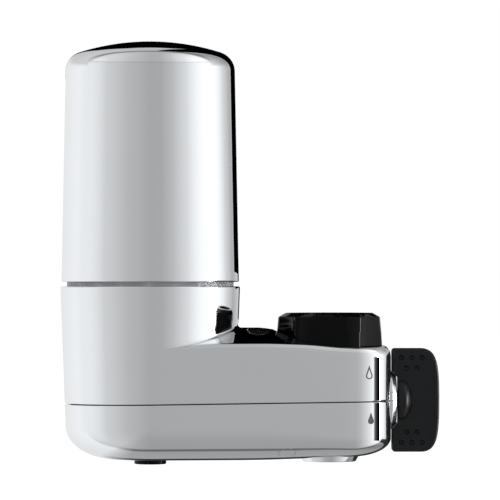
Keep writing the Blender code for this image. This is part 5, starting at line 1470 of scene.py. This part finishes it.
class MakeScrews(bpy.types.Operator):
    """Makes the three screws that hold the pan, with their cross recesses"""

    bl_idname = "faucet_filter.screws"
    bl_label = "Screws"

    def execute(self, context):
        head_top, top, shank = 11.0 * MM, 30.0 * MM, 1.4 * MM
        head = rounded(
            [
                (0, SCREW_HEAD_BOTTOM, 0),
                (SCREW_HEAD_RADIUS, SCREW_HEAD_BOTTOM, 0.7 * MM),
                (SCREW_HEAD_RADIUS, head_top, 0.15 * MM),
                (shank, head_top, 0),
            ],
            6,
        )
        pitch, depth = 0.8 * MM, 0.25 * MM
        thread = [(shank - depth * (i % 2), head_top + (i + 1) * pitch / 2) for i in range(42)]
        for i, (x, y, _) in enumerate(SCREW_POSTS, 1):
            screw = turned(f"pan_screw_{i}", [*head, *thread, (0, top)], 40)
            for turn in (0, math.pi / 2):
                bm = bmesh.new()
                shape = Matrix.Diagonal((3.0 * MM, 0.6 * MM, 2.2 * MM, 1.0))
                place = Matrix.Translation((0, 0, SCREW_HEAD_BOTTOM))
                bmesh.ops.create_cube(bm, size=1.0, matrix=place @ Matrix.Rotation(turn, 4, "Z") @ shape)
                combined(screw, solid_object("recess", bm))
            place = FOOT + Vector((x, y, 0))
            dressed(screw, "base", "steel", "steel", f"shell_screw_{i}", at=place, sharp=35)
        return {"FINISHED"}


# Printed marks


def drop_loop(radius, length, steps):
    """A water drop's outline about the centre of its round end, with its tip up."""
    spread = math.degrees(math.acos(radius / length))
    return [*arc((0, 0), radius, 90 - spread, -270 + spread, steps), (0, length)]


def on_corner(x, height, proud):
    """A point on the arm's front right corner at x, lifted off the plate."""
    middle = Vector((ARM_REACH - ARM_CORNER, ARM_CORNER - ARM_HALF_WIDTH))
    side = (x - middle.x) / ARM_CORNER
    outwards = Vector((side, -math.sqrt(1 - side * side)))
    return Vector((*(middle + outwards * (ARM_CORNER + proud)), height))


class MakeMarks(bpy.types.Operator):
    """Prints the two water drops at the arm's right"""

    bl_idname = "faucet_filter.marks"
    bl_label = "Water drops"

    def execute(self, context):
        proud, foot = 0.04 * MM, 0.01 * MM
        marks = (
            ("outlined_drop", "drop_outline_ink", 78.15, 30.4, 1.2, 3.75, (0.66,)),
            ("solid_drop", "drop_ink", 78.75, 14.35, 1.05, 3.1, (0.7, 0.4, 0.1)),
        )
        for name, ink, x, z, radius, length, scales in marks:
            loop = drop_loop(radius * MM, length * MM, 24)

            def at(column, scale, lift):
                across, up = loop[column]
                return on_corner(x * MM + across * scale, z * MM + up * scale, lift)

            bm, layer, edges = started(len(loop), lambda c: at(c, 1.0, foot))
            for scale in (1.0, *scales):
                edges = grown(bm, layer, edges, lambda c, s=scale: at(c, s, proud))
            if len(scales) > 1:
                bmesh.ops.contextual_create(bm, geom=edges)
            else:
                grown(bm, layer, edges, lambda c: at(c, scales[-1], foot))
            dressed(solid_object(name, bm), "base", ink, "satin_black")
        return {"FINISHED"}


# Finishes of the CAD nodes that stay

NODE_FINISHES = {
    "grey_plastic": ("cartridge_base", "cartridge_socket", "valve_body", "valve_bonnet"),
    "white_plastic": ("cartridge_vessel", "carbon_top_cap", "carbon_bottom_cap", "valve_spindle"),
    "rubber": ("neck_seal", "spigot_seal", "spindle_seal_inner", "spindle_seal_outer", "faucet_washer"),
    "pressed_carbon": ("carbon_block",),
    "prefilter_felt": ("prefilter_sleeve",),
    "tube_plastic": ("feed_tube",),
    "brass": ("inlet_stem",),
    "steel": ("inlet_screen", "button_cell"),
    "status_led": ("status_led",),
    "circuit_board": ("indicator_board",),
    "gloss_black": ("indicator_cover",),
}


class FinishNodes(bpy.types.Operator):
    """Gives each CAD piece that stays in view its own finish"""

    bl_idname = "faucet_filter.node_finishes"
    bl_label = "Inner pieces"

    def execute(self, context):
        for name, nodes in NODE_FINISHES.items():
            for node in nodes:
                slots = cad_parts[node].data.materials
                if not slots:
                    slots.append(None)
                for i in range(len(slots)):
                    slots[i] = finish(name)
        return {"FINISHED"}


class FilterPanel(bpy.types.Panel):
    bl_idname = "FILTER_PT_finish"
    bl_label = "Faucet filter"
    bl_space_type = "VIEW_3D"
    bl_region_type = "UI"
    bl_category = "Faucet Filter"

    def draw(self, context):
        for operator in OPERATORS:
            self.layout.operator(operator.bl_idname)
        for group in (sizes(), colours(), context.scene.stage_settings):
            for label in group.bl_rna.properties.keys():
                if label not in {"rna_type", "name"}:
                    self.layout.prop(group, label)


OPERATORS = (
    MakeStage,
    FinishNodes,
    MakeCanister,
    MakeHousing,
    MakeCollar,
    MakeLever,
    MakeOutlets,
    MakeWindow,
    MakeButton,
    MakeSpring,
    MakeScrews,
    MakeMarks,
)
SETTINGS = (FilterSizes, FilterColours, StageSettings)


def register():
    for kind in (*SETTINGS, *OPERATORS, FilterPanel):
        bpy.utils.register_class(kind)
    bpy.types.Scene.filter_sizes = PointerProperty(type=FilterSizes)
    bpy.types.Scene.filter_colours = PointerProperty(type=FilterColours)
    bpy.types.Scene.stage_settings = PointerProperty(type=StageSettings)


def unregister():
    for label in ("filter_sizes", "filter_colours", "stage_settings"):
        delattr(bpy.types.Scene, label)
    for kind in reversed((*SETTINGS, *OPERATORS, FilterPanel)):
        bpy.utils.unregister_class(kind)


def main():
    register()
    for operator in OPERATORS:
        group, name = operator.bl_idname.split(".")
        getattr(getattr(bpy.ops, group), name)()


if __name__ == "__main__":
    main()
